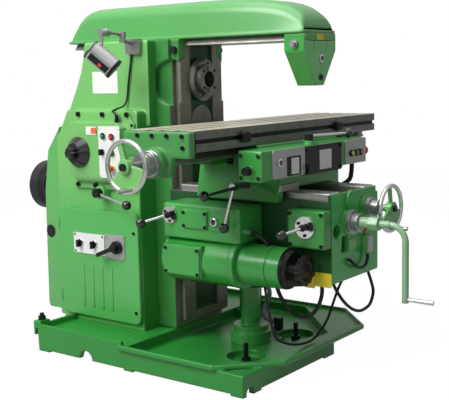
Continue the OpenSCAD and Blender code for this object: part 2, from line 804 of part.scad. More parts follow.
module lamp_arm() {
  color([0.50, 0.52, 0.53]) {
    difference() {
      along_z(lamp_x, lamp_y, [lamp_z - 8, lamp_z + 14], 32);
      along_z(lamp_x, lamp_y, [lamp_z - 9, lamp_z + 15], 16 + 2 * shaft_gap);
    }
    rod([lamp_x - 12, lamp_y, lamp_z + 4], [lamp_far[0] + 10, lamp_far[1], lamp_far[2]], 15);
    along_x([lamp_far[0] - 8, lamp_far[0] + 14], lamp_far[1], lamp_far[2], 34);
  }
}

module lamp_head() {
  joint_x = lamp_far[0] - 22;
  mid = [joint_x, lamp_far[1] + 9, lamp_far[2] - 106];
  aim = unit([46, -58, -67]);
  color([0.72, 0.73, 0.74]) {
    along_x([joint_x - 12, lamp_far[0] - 8], lamp_far[1], lamp_far[2], 30);
    rod([joint_x, lamp_far[1], lamp_far[2]], [joint_x, lamp_far[1] + 6, lamp_far[2] - 66], 14);
    difference() {
      rod(mid - 58 * aim, mid + 72 * aim, 88);
      rod(mid + 8 * aim, mid + 76 * aim, 76);
    }
  }
  color([0.95, 0.93, 0.85]) rod(mid + 7 * aim, mid + 52 * aim, 50);
}

module lamp_cable() {
  color([0.05, 0.05, 0.05]) cable(smooth(lamp_route, 5), 8, 8);
}

module knee() {
  g = slide_gap;
  color([0.20, 0.55, 0.27]) difference() {
    union() {
      side_slab([-kw, kw], [[0, knee_back_low], [-330, knee_back_low], [-knee_l, knee_low],
                            [-knee_l, knee_top], [0, knee_top]]);
      for (s = [-1, 1]) {
        translate([0, 0, knee_back_low]) linear_extrude(knee_top - knee_back_low) {
          polygon([[s * (way_w / 2 + g), 0], [s * kw, 0], [s * kw, way_t - 2],
                   [s * (way_w / 2 + g - way_in * (way_t - 2) / (way_t + 1)), way_t - 2]]);
        }
        bar(s > 0 ? [96, kw - 14] : [14 - kw, -96], [-knee_l + 16, -8], [knee_top - 1, rail_z]);
      }
      bar([-kw, kw - 20], [-knee_l, -knee_l + 15], [knee_top - 1, rail_z - 4]);
      along_y(-38, [-knee_l - 10, -knee_l + 5], rail_z - 42, 86);
      along_y(cross_x, [-knee_l - 10, -knee_l + 5], cross_z, 96);
      along_y(crank_x, [-knee_l - 10, -knee_l + 5], crank_z, 104);
    }
    side_slab([-kw + wall, kw - wall], [[-34, knee_back_low - 1], [-330, knee_back_low - 1],
                                        [-330, knee_low - 40], [-knee_l + 34, knee_low + 6],
                                        [-knee_l + 34, knee_top - 30], [-34, knee_top - 30]]);
    bar([-kw + wall, kw - wall], [-knee_l + 34, -330], [knee_back_low, knee_low + 8]);
    along_y(cross_x, [-knee_l - 11, -knee_l + 40], cross_z, shaft_d + 2 * shaft_gap);
    along_y(crank_x, [-knee_l - 11, -knee_l + 40], crank_z, shaft_d + 2 * shaft_gap);
    along_y(-148, [-knee_l - 1, -knee_l + 20], 599, 56);
    bar([-110, -66], [-knee_l - 1, -knee_l + 14], [511, 574]);
    along_z(0, ped_y, [knee_top - 31, knee_top + 1], lift_d - 8);
  }
}

module lift_screw() {
  color([0.45, 0.45, 0.46]) {
    along_z(0, ped_y, [knee_back_low - 80, knee_top - 30], lift_d);
    along_z(0, ped_y, [knee_top - 31, knee_top - 4], lift_d - 8);
  }
}

module feed_box() {
  top = knee_top - 26;
  color([0.25, 0.63, 0.32]) {
    bar([gear_x, -kw], [-446, -60], [feed_z + 88, top]);
    difference() {
      union() {
        along_y(feed_x, [gear_front, -60], feed_z, 194);
        bar([feed_x, -kw], [gear_front, -60], [feed_z - 97, feed_z + 97]);
        bar([gear_pad, feed_x], [-270, -74], [feed_z - 62, feed_z + 66]);
      }
      bar([-kw, 0], [gear_front - 1, -59], [feed_z - 100, feed_z + 100]);
    }
    difference() {
      along_y(feed_x, [motor_front, gear_front], feed_z, 206);
      bar([-kw, 0], [motor_front - 1, gear_front + 1], [feed_z - 110, feed_z + 110]);
    }
    on_left(gear_x, -230, feed_z + 172) round_plate(126, 72, 4, 8);
    on_left(gear_x, -353, feed_z + 174) round_plate(92, 84, 6, 4);
    on_left(gear_pad, -172, feed_z + 2) round_plate(184, 117, 4, 6);
  }
  color([0.15, 0.17, 0.15]) for (sy = [-1, 1], sz = [-1, 1]) {
    on_left(gear_x - 8, -230 + sy * 54, feed_z + 172 + sz * 27) cap_screw(13, 5);
    on_left(gear_pad - 6, -172 + sy * 82, feed_z + 2 + sz * 48) cap_screw(13, 5);
  }
  color([0.75, 0.75, 0.77]) {
    on_left(gear_x - 4, -330, feed_z + 170) cylinder(d = 34, h = 6);
    on_left(gear_x, -100, knee_top - 74) cylinder(d = 72, h = 7);
  }
}

module feed_motor() {
  end = motor_front - motor_l;
  seam = end + 61;
  color([0.25, 0.63, 0.32]) {
    along_y(feed_x, [seam + 3, motor_front], feed_z, motor_d);
    along_y(feed_x, [seam - 1, seam + 4], feed_z, motor_d - 8);
    along_y(feed_x, [end, seam], feed_z, motor_d - 2);
  }
  color([0.05, 0.05, 0.05]) on_front(feed_x, end, feed_z) {
    cylinder(d = motor_d - 8, h = 9);
    translate([0, 0, 8]) cylinder(d1 = motor_d - 14, d2 = motor_d - 34, h = cover_h - 8);
  }
}

module feed_dial() {
  y = motor_front - motor_l - cover_h - button_gap;
  color([0.80, 0.80, 0.82]) on_front(feed_x, y, feed_z) cylinder(d = 38, h = 38);
  color([0.05, 0.05, 0.05]) on_front(feed_x, y - 36, feed_z) difference() {
    union() {
      cylinder(d = 108, h = 20);
      for (i = [0 : 11]) {
        rotate([0, 0, i * 30]) translate([51, 0, 0]) cylinder(d = 16, h = 20);
      }
    }
    translate([0, 0, 14]) cylinder(d1 = 60, d2 = 84, h = 7);
  }
}

lever_box_x = -kw - 52;

module lever_box() {
  color([0.22, 0.58, 0.29]) {
    bar([lever_box_x, -kw], [-knee_l, -knee_l + 168], [feed_z + motor_d / 2 - 4, knee_top - 32]);
  }
  color([0.15, 0.17, 0.15]) for (sy = [-1, 1], sz = [-1, 1]) {
    on_left(lever_box_x, -knee_l + 84 + sy * 70, knee_top - 106 + sz * 60) cap_screw(14, 6);
  }
  color([0.78, 0.78, 0.80]) on_left(lever_box_x, -knee_l + 84, knee_top - 97) cylinder(d = 86, h = 7);
}

// Feed lever: hub ball with its pivot pin just clear of the disc, rod and black ball
hub_d = 28;
hub_gap = 7 + hub_d / 2 + button_gap;

module feed_lever(hub, tip) {
  color([0.10, 0.10, 0.10]) {
    translate(hub) sphere(d = hub_d);
    along_y(hub[0], [hub[1] - 17, hub[1] + 17], hub[2], 10);
  }
  color([0.75, 0.75, 0.77]) rod(hub, tip, rod_d);
  color([0.05, 0.05, 0.05]) translate(tip) rotate([0, 0, 180]) sphere(d = ball_d);
}

module front_lever() {
  hub = [lever_box_x - hub_gap, -knee_l + 84, knee_top - 97];
  feed_lever(hub, hub + [-92, 36, -16]);
}

module rear_lever() {
  hub = [gear_x - hub_gap, -100, knee_top - 74];
  feed_lever(hub, hub + [-92, 62, -26]);
}

module knee_fittings() {
  front = -knee_l;
  hose_x = feed_x - 20;
  hose_z = feed_z + 128;
  color([0.30, 0.62, 0.36]) {
    bar([42, 92], [front - 27, front], [484, 556]);
    bar([-62, 40], [front - 3, front], [510, 556]);
  }
  color([0.65, 0.66, 0.64]) on_front(67, front - 27, 520) round_plate(42, 66, 14, 3);
  color([0.80, 0.10, 0.08]) front_slab([front - 6, front], [[62, 560], [94, 560], [78, 584]]);
  color([0.78, 0.78, 0.80]) rod([hose_x, -446, hose_z], [hose_x, -466, hose_z], 22);
  color([0.05, 0.05, 0.05]) {
    cable(smooth([[hose_x, -464, hose_z], [hose_x, -488, hose_z - 2], [hose_x + 4, -514, hose_z - 20],
                  [hose_x + 10, -528, hose_z - 38], [hose_x + 14, -532, hose_z - 46]], 4), 16, 10);
    cable(smooth([[68, front - 14, 484], [66, front - 16, 458], [38, front - 18, 434], [-6, front - 18, 436],
                  [-46, front - 20, 454], [-66, front - 12, 474], [-68, front, 476]], 4), 13, 10);
  }
}

module cross_wheel() {
  y = -knee_l - 10;
  color([0.60, 0.61, 0.62]) {
    along_y(cross_x, [y - 18, y], cross_z, 76);
    along_y(cross_x, [y - 52, y - 17], cross_z, 58);
    along_y(cross_x, [y - 96, y + 48], cross_z, shaft_d);
  }
  color([0.27, 0.66, 0.34]) translate([cross_x, y - 100, cross_z]) rotate([90, 0, 0]) rotate(98) {
    handwheel(wheel_d, 66);
  }
}

module crank() {
  y = -knee_l - 10;
  bend = 62;
  arm_d = 24;
  foot = crank_z - crank_r;
  color([0.55, 0.56, 0.57]) {
    along_y(crank_x, [y - 18, y], crank_z, 92);
    along_y(crank_x, [y - 46, y - 17], crank_z, 70);
    along_y(crank_x, [y - 60, y + 48], crank_z, shaft_d);
  }
  color([0.27, 0.66, 0.34]) {
    along_y(crank_x, [y - 84, y - 45], crank_z, 44);
    translate([crank_x, y - 83, crank_z]) rotate([90, 0, 0]) cylinder(d = 56, h = 44, $fn = 6);
    along_y(crank_x, [crank_y + bend, y - 126], crank_z, arm_d + 4);
    translate([crank_x, crank_y + bend, crank_z - bend]) rotate([90, 0, -90]) rotate_extrude(angle = 90) {
      translate([bend, 0]) circle(d = arm_d);
    }
    along_z(crank_x, crank_y, [foot - 13, crank_z - bend + 6], arm_d + 2);
  }
  color([0.80, 0.80, 0.82]) {
    along_y(crank_x, [crank_y - 30, crank_y], foot, 12);
    translate([crank_x, crank_y - 14, foot]) rotate([90, 0, 0]) cylinder(d1 = 15, d2 = 19, h = 100);
  }
}

// Dovetail of the table above its saddle, widened by g
module table_dovetail(x, g) {
  low = t0 - 30 - g;
  side_slab(x, [[ty - 84 - g, t0], [ty - 105 - g, low], [ty + 105 + g, low], [ty + 84 + g, t0]]);
}

module saddle() {
  low = rail_z - 42;
  y = [ty - 215, ty + 190];
  edge = kw + 50;
  color([0.24, 0.62, 0.31]) difference() {
    union() {
      bar([-saddle_w, saddle_w], [box_back, ty + 170], [saddle_deck, t0]);
      bar([-edge, edge], y, [rail_z, saddle_deck + 1]);
      for (s = [-1, 1]) {
        bar(s > 0 ? [kw + 3, edge] : [-edge, -kw - 3], y, [low, rail_z + 1]);
      }
      along_x([-edge - 130, -edge + 1], ty - 112, saddle_deck - 70, 26);
    }
    table_dovetail([-saddle_w - 1, saddle_w + 1], slide_gap);
    bar([-saddle_w - 1, saddle_w + 1], [ty - 50, ty + 50], [screw_z - 48, t0 - 29]);
  }
  color([0.55, 0.45, 0.30]) difference() {
    bar([-45, 45], [ty - 50, ty + 50], [screw_z - 48, screw_z + 5]);
    along_x([-46, 46], ty, screw_z, screw_d + 2 * slide_gap);
  }
  color([0.78, 0.78, 0.79]) bar([-edge, -90], [y[0] - 6, y[0]], [rail_z + 1, rail_z + 26]);
}

module saddle_box() {
  color([0.26, 0.64, 0.33]) {
    difference() {
      union() {
        bar([box_left, 150], [box_front, box_back], [box_low, box_top]);
        bar([149, box_right], [box_front, box_back], [box_low + 12, box_top]);
      }
      bar([-kw - 50, kw + 50], [ty - 215, box_back + 1], [box_low - 1, saddle_deck + 1]);
    }
    along_z(post_x, post_y, [box_top, box_top + 14], 46);
    along_x([box_left - 16, box_left], box_front + 52, box_low + 44, 36);
  }
  color([0.08, 0.08, 0.08]) along_x([box_left - 38, box_left - 16], box_front + 52, box_low + 44, 30);
  color([0.15, 0.17, 0.15]) for (y = [box_front + 14, box_back - 14], z = [box_low + 16, box_top - 18]) {
    on_left(box_left, y, z) cap_screw(16, 6);
  }
  color([0.12, 0.14, 0.14]) cable(smooth([[box_right - 36, box_front + 50, box_low + 14],
    [box_right - 36, box_front + 52, box_low - 30], [box_right - 44, box_front + 58, box_low - 66],
    [box_right - 80, box_front + 76, box_low - 86], [kw + 72, box_front + 84, box_low - 80],
    [kw + 50.8, box_front + 84, box_low - 80]], 4), 20, 12);
}

button_x = [225, 264, 299];
button_z = box_low + 58;
pad_front = box_front - 5;
stop_y = box_front + 21;

module saddle_plates() {
  color([0.55, 0.56, 0.54]) on_front(-248, box_front, box_low + 60) round_plate(226, 108, 16, 4);
  color([0.07, 0.07, 0.07]) {
    on_front(-216, box_front - 4, box_low + 46) round_plate(92, 74, 4, 3);
    on_front(7, box_front, box_low + 56) round_plate(278, 112, 6, 5);
    for (x = button_x) {
      on_front(x, pad_front, button_z) bezel();
    }
  }
  color([0.70, 0.71, 0.70]) {
    on_front(266, box_front, box_low + 64) round_plate(174, 102, 4, 5);
    on_front(-318, box_front - 4, box_low + 66) cylinder(d = 30, h = 6);
    on_front(-118, box_front - 5, box_low + 30) cylinder(d = 26, h = 16);
  }
  color([0.90, 0.75, 0.10]) on_right(box_right, stop_y, button_z) bezel();
  color([0.15, 0.15, 0.15]) for (x = [-122, 136], z = [box_low + 12, box_low + 100]) {
    on_front(x, box_front - 5, z) cap_screw(14, 5);
  }
}

module table_lever() {
  hub = [post_x, post_y, box_top + 32];
  tip = [post_x + 312, post_y, box_top + 24];
  color([0.20, 0.20, 0.20]) along_z(post_x, post_y, [box_top + 14, box_top + 40], 34);
  color([0.80, 0.80, 0.82]) rod(hub, tip, rod_d);
  color([0.05, 0.05, 0.05]) ball(tip);
}

module clamp_lever() {
  hub = [box_left + 25, box_back - 16, box_low - 13];
  tip = hub + [-40, 172, -50];
  color([0.12, 0.13, 0.12]) {
    along_z(hub[0], hub[1], [hub[2] - 12, box_low], 30);
    rod(hub, tip, rod_d);
  }
  color([0.05, 0.05, 0.05]) ball(tip);
}

module lock_lever() {
  hub = [-kw - 180, ty - 112, saddle_deck - 70];
  tip = hub + [-26, 42, -160];
  color([0.75, 0.75, 0.77]) {
    along_x([hub[0] - 22, hub[0]], hub[1], hub[2], 30);
    rod(hub - [14, 0, 0], tip, rod_d);
  }
  color([0.05, 0.05, 0.05]) ball(tip);
}

module feed_jog() {
  color([0.88, 0.82, 0.10]) on_front(button_x[0], pad_front, button_z) button_cap();
}

module feed_start() {
  color([0.10, 0.55, 0.40]) on_front(button_x[1], pad_front, button_z) button_cap();
}

module feed_stop() {
  color([0.85, 0.20, 0.12]) on_front(button_x[2], pad_front, button_z) button_cap();
}

module saddle_estop() {
  color([0.85, 0.15, 0.10]) on_right(box_right, stop_y, button_z) mushroom();
}

module table() {
  groove = t0 + 38;
  color([0.30, 0.31, 0.30]) difference() {
    union() {
      bar([-tl, tl], [ty - tw, ty + tw], [t0, table_z]);
      table_dovetail([-tl, tl], 0);
    }
    for (i = [-1 : 1]) {
      y = ty + i * slot_pitch;
      bar([-tl - 1, tl + 1], [y - slot_w / 2, y + slot_w / 2], [table_z - 26, table_z + 1]);
      bar([-tl - 1, tl + 1], [y - slot_w * 0.86, y + slot_w * 0.86], [table_z - 40, table_z - 25]);
    }
    bar([-tl - 1, tl + 1], [ty - tw - 1, ty - tw + 10], [groove - 7, groove + 7]);
    along_x([-tl - 1, tl + 1], ty, t0 - 29, screw_d + 40);
  }
}

module lead_screw() {
  color([0.45, 0.45, 0.46]) along_x([-tl - 35, tl + 35], ty, screw_z, screw_d);
}

// Bearing body below an end bracket, drawn for the left end
module bearing_body() {
  difference() {
    union() {
      side_slab([-tl - 36, -tl], [[ty - 76, t0 - 19], [ty - 56, t0 - 92], [ty + 56, t0 - 92],
                                  [ty + 76, t0 - 19]]);
      bar([-tl - 36, -tl], [ty - 76, ty + 76], [t0 - 20, table_z - 2]);
      along_x([-tl - 64, -tl - 35], ty, screw_z, 112);
    }
    along_x([-tl - 65, -tl + 1], ty, screw_z, screw_d + 2 * shaft_gap);
  }
}

module table_brackets() {
  color([0.27, 0.66, 0.34]) {
    bearing_body();
    mirror([1, 0, 0]) bearing_body();
    for (s = [-1, 1]) {
      bar([-tl - 36, -tl], s > 0 ? [ty + 75, ty + tw - 2] : [ty - tw + 2, ty - 75], [t0 - 20, table_z - 2]);
    }
  }
  color([0.15, 0.17, 0.15]) {
    for (i = [-1.5 : 1 : 1.5]) {
      on_left(-tl - 36, ty - 21 + i * 70, table_z - 17) cap_screw(16, 6);
    }
    for (y = [ty - 128, ty + 88]) {
      on_left(-tl - 36, y, t0 + 19) cap_screw(16, 6);
    }
  }
  color([0.10, 0.10, 0.10]) for (x = [-373, 317]) {
    bar([x - 24, x + 24], [ty - tw - 20, ty - tw], [t0 + 18, t0 + 58]);
  }
}

module table_wheel() {
  x = -tl - 64;
  color([0.60, 0.61, 0.62]) {
    along_x([x - 22, x], ty, screw_z, 92);
    along_x([x - 54, x - 21], ty, screw_z, 80);
    along_x([x - 120, x - 53], ty, screw_z, shaft_d);
  }
  color([0.27, 0.66, 0.34]) translate([x - 128, ty, screw_z]) rotate([0, -90, 0]) rotate(17) {
    handwheel(wheel_d, 72);
  }
}

module coolant_pump() {
  color([0.36, 0.68, 0.42]) {
    bar([285, 405], [38, tray_back - 21], [tray_z, tray_z + 40]);
    bar([300, 390], [-30, 39], [tray_z, 270]);
  }
  color([0.16, 0.17, 0.17]) {
    along_z(345, 4, [270, 330], 84);
    along_y(345, [-38, -30], 235, 24);
    bar([194, 230], [-260, -226], [tray_z, tray_z + 56]);
  }
}

module coolant_hose() {
  color([0.55, 0.56, 0.58]) ribbed_hose(smooth(hose_route, 9), 24, 16, 2.4, 10);
}

module cable_left() {
  color([0.05, 0.05, 0.05]) cable(smooth(left_route, 4), 16, 10);
}

module cable_low() {
  color([0.05, 0.05, 0.05]) cable(smooth(low_route, 4), 11, 10);
}

module cable_right() {
  color([0.05, 0.05, 0.05]) cable(smooth(right_route, 4), 13, 10);
}

base();
pedestal();
anchor_bolts();
column();
rear_cover();
main_motor();
spindle();
spindle_bearings();
speed_box();
speed_dial();
speed_lever();
control_panel();
start_button();
stop_button();
jog_button();
panel_estop();
panel_selector();
column_fittings();
cabinet_door();
switch_plates();
main_switch();
selector_left();
selector_right();
overarm();
arbor_support();
support_fittings();
lamp_bracket();
lamp_arm();
lamp_head();
lamp_cable();
knee();
lift_screw();
feed_box();
feed_motor();
feed_dial();
lever_box();
front_lever();
rear_lever();
knee_fittings();
cross_wheel();
crank();
saddle();
saddle_box();
saddle_plates();
table_lever();
clamp_lever();
lock_lever();
feed_jog();
feed_start();
feed_stop();
saddle_estop();
table();
lead_screw();
table_brackets();
table_wheel();
coolant_pump();
coolant_hose();
cable_left();
cable_low();
cable_right();
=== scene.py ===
import json
import math
import bpy
from mathutils import Matrix, Vector


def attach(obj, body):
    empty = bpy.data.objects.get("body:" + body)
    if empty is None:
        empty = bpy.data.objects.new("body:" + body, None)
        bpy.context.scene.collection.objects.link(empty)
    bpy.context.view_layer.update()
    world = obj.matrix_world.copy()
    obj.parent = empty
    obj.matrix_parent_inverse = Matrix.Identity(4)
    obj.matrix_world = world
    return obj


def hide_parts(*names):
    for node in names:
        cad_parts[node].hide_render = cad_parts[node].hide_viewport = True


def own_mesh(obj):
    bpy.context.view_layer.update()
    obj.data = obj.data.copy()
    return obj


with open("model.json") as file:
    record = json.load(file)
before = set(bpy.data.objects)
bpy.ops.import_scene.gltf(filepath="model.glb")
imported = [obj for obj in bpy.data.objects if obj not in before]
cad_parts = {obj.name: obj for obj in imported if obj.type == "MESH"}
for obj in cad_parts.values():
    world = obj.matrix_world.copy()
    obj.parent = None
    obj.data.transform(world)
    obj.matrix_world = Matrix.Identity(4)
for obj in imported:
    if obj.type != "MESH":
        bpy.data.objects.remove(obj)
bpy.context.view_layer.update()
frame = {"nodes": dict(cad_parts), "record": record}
nodes = frame["nodes"]
bodyOf = {n: b for b, ns in frame["record"]["behaviour"]["bodies"].items() for n in ns}

# camera fitted to the edges of the machine in the photograph
cameraSet = {"place": (-3.187, -2.538, 1.213), "azimuth": -52.71, "elevation": 7.834, "roll": -1.296,
             "lens": 74.09, "sensor": 36}


def newObject(name, data):
    obj = bpy.data.objects.new(name, data)
    bpy.context.scene.collection.objects.link(obj)
    return obj


def placeCamera():
    az, el, roll = (math.radians(cameraSet[k]) for k in ("azimuth", "elevation", "roll"))
    back = Vector((math.sin(az) * math.cos(el), -math.cos(az) * math.cos(el), math.sin(el)))
    right = Vector((0, 0, 1)).cross(back).normalized()
    up = back.cross(right)
    side = math.cos(roll) * right + math.sin(roll) * up
    top = math.cos(roll) * up - math.sin(roll) * right
    camera = newObject("photoCamera", bpy.data.cameras.new("photoCamera"))
    camera.data.sensor_width = cameraSet["sensor"]
    camera.data.lens = cameraSet["lens"]
    turn = Matrix((side, top, back)).transposed().to_4x4()
    camera.matrix_world = Matrix.Translation(cameraSet["place"]) @ turn
    bpy.context.scene.camera = camera


placeCamera()
print("camera placed")

# angles in degrees; room is what a rounding needs, as a multiple of its size
edgeSet = {"sharp": 32, "corner": 30, "smooth": 38, "round": 60, "flat": 0.4, "weld": 0.00002,
           "faceRoom": 2.1, "edgeRoom": 1.3, "growth": 1.001}


def active():
    return bpy.context.view_layer.objects.active


def useOnly(obj):
    for o in list(bpy.context.selected_objects):
        o.select_set(False)
    bpy.context.view_layer.objects.active = obj
    obj.select_set(True)


def editMode(on):
    bpy.ops.object.mode_set(mode="EDIT" if on else "OBJECT")


def selectAll(action="SELECT"):
    bpy.ops.mesh.select_all(action=action)


def pickParts(mesh, kind, test):  # opens edit mode with only those faces or edges that pass the test
    editMode(True)
    bpy.ops.mesh.select_mode(type=kind)
    selectAll("DESELECT")
    editMode(False)
    for item in mesh.polygons if kind == "FACE" else mesh.edges:
        item.select = bool(test(item))
    editMode(True)


def settle(obj, name):  # place and turn go into the mesh
    useOnly(obj)
    bpy.ops.object.transform_apply(location=True, rotation=True, scale=True)
    obj.name = name
    obj.data.name = name
    return obj


def joinAll(pieces, name):
    useOnly(pieces[0])
    for other in pieces[1:]:
        other.select_set(True)
    bpy.ops.object.join()
    return settle(pieces[0], name)


def smoothShade(obj, angle=edgeSet["smooth"]):
    useOnly(obj)
    bpy.ops.object.shade_smooth_by_angle(angle=math.radians(angle))


def bevelEdges(obj, width, segments, method="ANGLE"):
    useOnly(obj)
    edge = obj.modifiers.new("edge", "BEVEL")
    edge.width = width
    edge.segments = segments
    edge.limit_method = method
    edge.angle_limit = math.radians(edgeSet["sharp"])
    edge.miter_outer = "MITER_ARC"
    bpy.ops.object.modifier_apply(modifier="edge")


def roundUprights(obj, corner, segments, least):  # rounds the edges that stand up along Z
    def stands(edge):
        a, b = (obj.data.vertices[i].co for i in edge.vertices)
        return abs(a.z - b.z) > least

    pickParts(obj.data, "EDGE", stands)
    bpy.ops.mesh.bevel(offset=corner, segments=segments)
    editMode(False)


def markEdges(mesh, size):  # edges with room for a rounding of this size
    reach, sides, breadth = {}, {}, {}
    for edge in mesh.edges:
        a, b = edge.vertices
        length = (mesh.vertices[a].co - mesh.vertices[b].co).length
        for v in (a, b):
            reach[v] = min(reach.get(v, 9), length)
    for face in mesh.polygons:
        for key in face.edge_keys:
            sides.setdefault(key, []).append(face)
        longest = max((mesh.vertices[a].co - mesh.vertices[b].co).length for a, b in face.edge_keys)
        breadth[face.index] = face.area / longest
    layer = "bevel_weight_edge"
    weights = mesh.attributes.get(layer) or mesh.attributes.new(layer, "FLOAT", "EDGE")
    for edge in mesh.edges:
        pair = sides.get(edge.key, [])
        fits = len(pair) == 2 and pair[0].normal.angle(pair[1].normal, 0) > math.radians(edgeSet["corner"])
        fits = fits and min(breadth[f.index] for f in pair) > edgeSet["faceRoom"] * size
        fits = fits and min(reach[v] for v in edge.vertices) > edgeSet["edgeRoom"] * size
        weights.data[edge.index].value = float(fits)


def skinArea(mesh):
    mesh.calc_loop_triangles()
    return sum(t.area for t in mesh.loop_triangles)


def roundEdges(obj, width, segments):  # broad edges first, then the finer ones; a fold is undone
    for size, steps in ((width, segments), (width / 2, 3), (width / 5, 2)):
        before = obj.data.copy()
        markEdges(obj.data, size)
        bevelEdges(obj, size, steps, "WEIGHT")
        spoilt = obj.data
        if skinArea(spoilt) > edgeSet["growth"] * skinArea(before):
            obj.data, before = before, spoilt
            print("rounding too wide:", obj.name, round(size, 4))
        bpy.data.meshes.remove(before)


# shader node groups, each built once; a socket is told by its width: number, vector or colour
socketKind = {1: "NodeSocketFloat", 3: "NodeSocketVector", 4: "NodeSocketColor"}
skinOutputs = {"Color": 4, "Roughness": 1, "Height": 1}


def newGroup(name, inputs, outputs):
    group = bpy.data.node_groups.new(name, "ShaderNodeTree")
    for label, value in inputs.items():
        kind = socketKind[len(value) if isinstance(value, tuple) else 1]
        group.interface.new_socket(label, in_out="INPUT", socket_type=kind).default_value = value
    for label, width in outputs.items():
        group.interface.new_socket(label, in_out="OUTPUT", socket_type=socketKind[width])
    return group, group.nodes.new("NodeGroupInput").outputs, group.nodes.new("NodeGroupOutput").inputs


def addNode(tree, kind, links=None, **values):
    node = tree.nodes.new("ShaderNode" + kind)
    for key, value in values.items():
        if hasattr(node, key):
            setattr(node, key, value)
        else:
            node.inputs[key].default_value = value
    for key, source in (links or {}).items():
        tree.links.new(source, node.inputs[key])
    return node


def feed(tree, socket, value):  # a number, a colour or another node's output
    if isinstance(value, (int, float)):
        socket.default_value = value
    elif isinstance(value, tuple):
        socket.default_value = (*value, 1)
    else:
        tree.links.new(value, socket)


def objectPlace(tree):
    return addNode(tree, "TexCoord").outputs["Object"]


def noise(tree, vector, scale, detail, rough=0.55):
    node = addNode(tree, "TexNoise", {"Vector": vector}, Detail=detail, Roughness=rough)
    feed(tree, node.inputs["Scale"], scale)
    return node.outputs[0]


def ramp(tree, source, low, high, start=0.0, end=1.0):
    node = addNode(tree, "MapRange", {"Value": source})
    for label, value in (("From Min", low), ("From Max", high), ("To Min", start), ("To Max", end)):
        node.inputs[label].default_value = value
    return node.outputs["Result"]


def mixColor(tree, factor, a, b):
    node = addNode(tree, "Mix", data_type="RGBA")
    for index, value in ((0, factor), (6, a), (7, b)):
        feed(tree, node.inputs[index], value)
    return node.outputs[2]


def calc(tree, operation, a, b=0.5):
    node = addNode(tree, "Math", operation=operation)
    for index, value in enumerate((a, b)):
        feed(tree, node.inputs[index], value)
    return node.outputs[0]


def paintGroup():  # enamel over castings: broad changes of tint, painted shade that deepens the tint low down, filler waves, grime low down
    group, take, give = newGroup("castPaint", {"Paint": (0.1, 0.4, 0.1, 1), "Shade": (0.05, 0.25, 0.06, 1),
                                               "Grime": 0.3, "Fade": 0.0}, skinOutputs)
    place = objectPlace(group)
    height = addNode(group, "SeparateXYZ", {"Vector": place}).outputs["Z"]
    paintedLowShade = calc(group, "MULTIPLY", ramp(group, height, 0.80, 0.66), take["Fade"])  # painted shade: deeper low down
    deep = calc(group, "MAXIMUM", ramp(group, noise(group, place, 2.6, 3), 0.35, 0.7, 0, 0.5), paintedLowShade)
    tint = mixColor(group, deep, take["Paint"], take["Shade"])
    low = calc(group, "MULTIPLY", ramp(group, height, 0.0, 0.45, 0.55, 0.0), noise(group, place, 34, 5, 0.6))
    dirt = calc(group, "MULTIPLY", low, take["Grime"])
    group.links.new(mixColor(group, dirt, tint, (0.045, 0.05, 0.035)), give["Color"])
    group.links.new(calc(group, "ADD", calc(group, "MULTIPLY", dirt, 0.5), 0.28), give["Roughness"])
    wave = calc(group, "MULTIPLY", noise(group, place, 12, 2), 0.8)
    peel = calc(group, "MULTIPLY", noise(group, place, 420, 2, 0.5), 0.02)
    group.links.new(calc(group, "ADD", wave, peel), give["Height"])
    return group


def metalGroup():  # machined steel: fine tool lines across the axes with a large factor, blotches of oil
    group, take, give = newGroup("machinedMetal", {"Metal": (0.4, 0.4, 0.4, 1), "Oil": (0.2, 0.18, 0.15, 1),
                                                   "Lines": (6, 400, 400), "Stain": 0.5}, skinOutputs)
    place = objectPlace(group)
    stretch = addNode(group, "VectorMath", {0: place, 1: take["Lines"]}, operation="MULTIPLY")
    lines = noise(group, stretch.outputs[0], 1, 2, 0.5)
    oil = calc(group, "MULTIPLY", ramp(group, noise(group, place, 16, 5, 0.65), 0.40, 0.66), take["Stain"])
    tone = mixColor(group, ramp(group, lines, 0.3, 0.7, 0, 0.35), take["Metal"], (0.1, 0.1, 0.1))
    group.links.new(mixColor(group, oil, tone, take["Oil"]), give["Color"])
    shine = calc(group, "ADD", ramp(group, lines, 0.2, 0.8, 0.24, 0.42), calc(group, "MULTIPLY", oil, 0.12))
    group.links.new(shine, give["Roughness"])
    group.links.new(lines, give["Height"])
    return group


def grainGroup():  # moulded plastic, rubber and sheet: faint grain and scuffs
    group, take, give = newGroup("fineGrain", {"Base": (0.1, 0.1, 0.1, 1), "Scuff": (0.2, 0.2, 0.2, 1),
                                               "Size": 300.0, "Gloss": 0.4}, skinOutputs)
    place = objectPlace(group)
    mark = ramp(group, noise(group, place, 48, 5, 0.7), 0.52, 0.78, 0, 0.5)
    group.links.new(mixColor(group, mark, take["Base"], take["Scuff"]), give["Color"])
    shine = calc(group, "ADD", take["Gloss"], calc(group, "MULTIPLY", mark, 0.1))
    group.links.new(shine, give["Roughness"])
    group.links.new(noise(group, place, take["Size"], 3, 0.6), give["Height"])
    return group


def marksGroup():  # graduations round a dial whose axis is the vector's Z
    group, take, give = newGroup("dialMarks", {"Vector": (0, 0, 0), "Count": 60.0, "Width": 0.2}, {"Mask": 1})
    turn = addNode(group, "TexGradient", {"Vector": take["Vector"]}, gradient_type="RADIAL")
    step = calc(group, "FRACT", calc(group, "MULTIPLY", turn.outputs["Fac"], take["Count"]))
    group.links.new(calc(group, "LESS_THAN", step, take["Width"]), give["Mask"])
    return group


glossSet = {"coat": 0.12, "dull": 0.2}
groups = {"paint": paintGroup(), "metal": metalGroup(), "grain": grainGroup(), "marks": marksGroup()}
bumpSet = {"paint": {"depth": 0.0006, "strength": 0.25, "soft": 0.011},
           "metal": {"depth": 0.0001, "strength": 0.2}, "grain": {"strength": 0.3}}


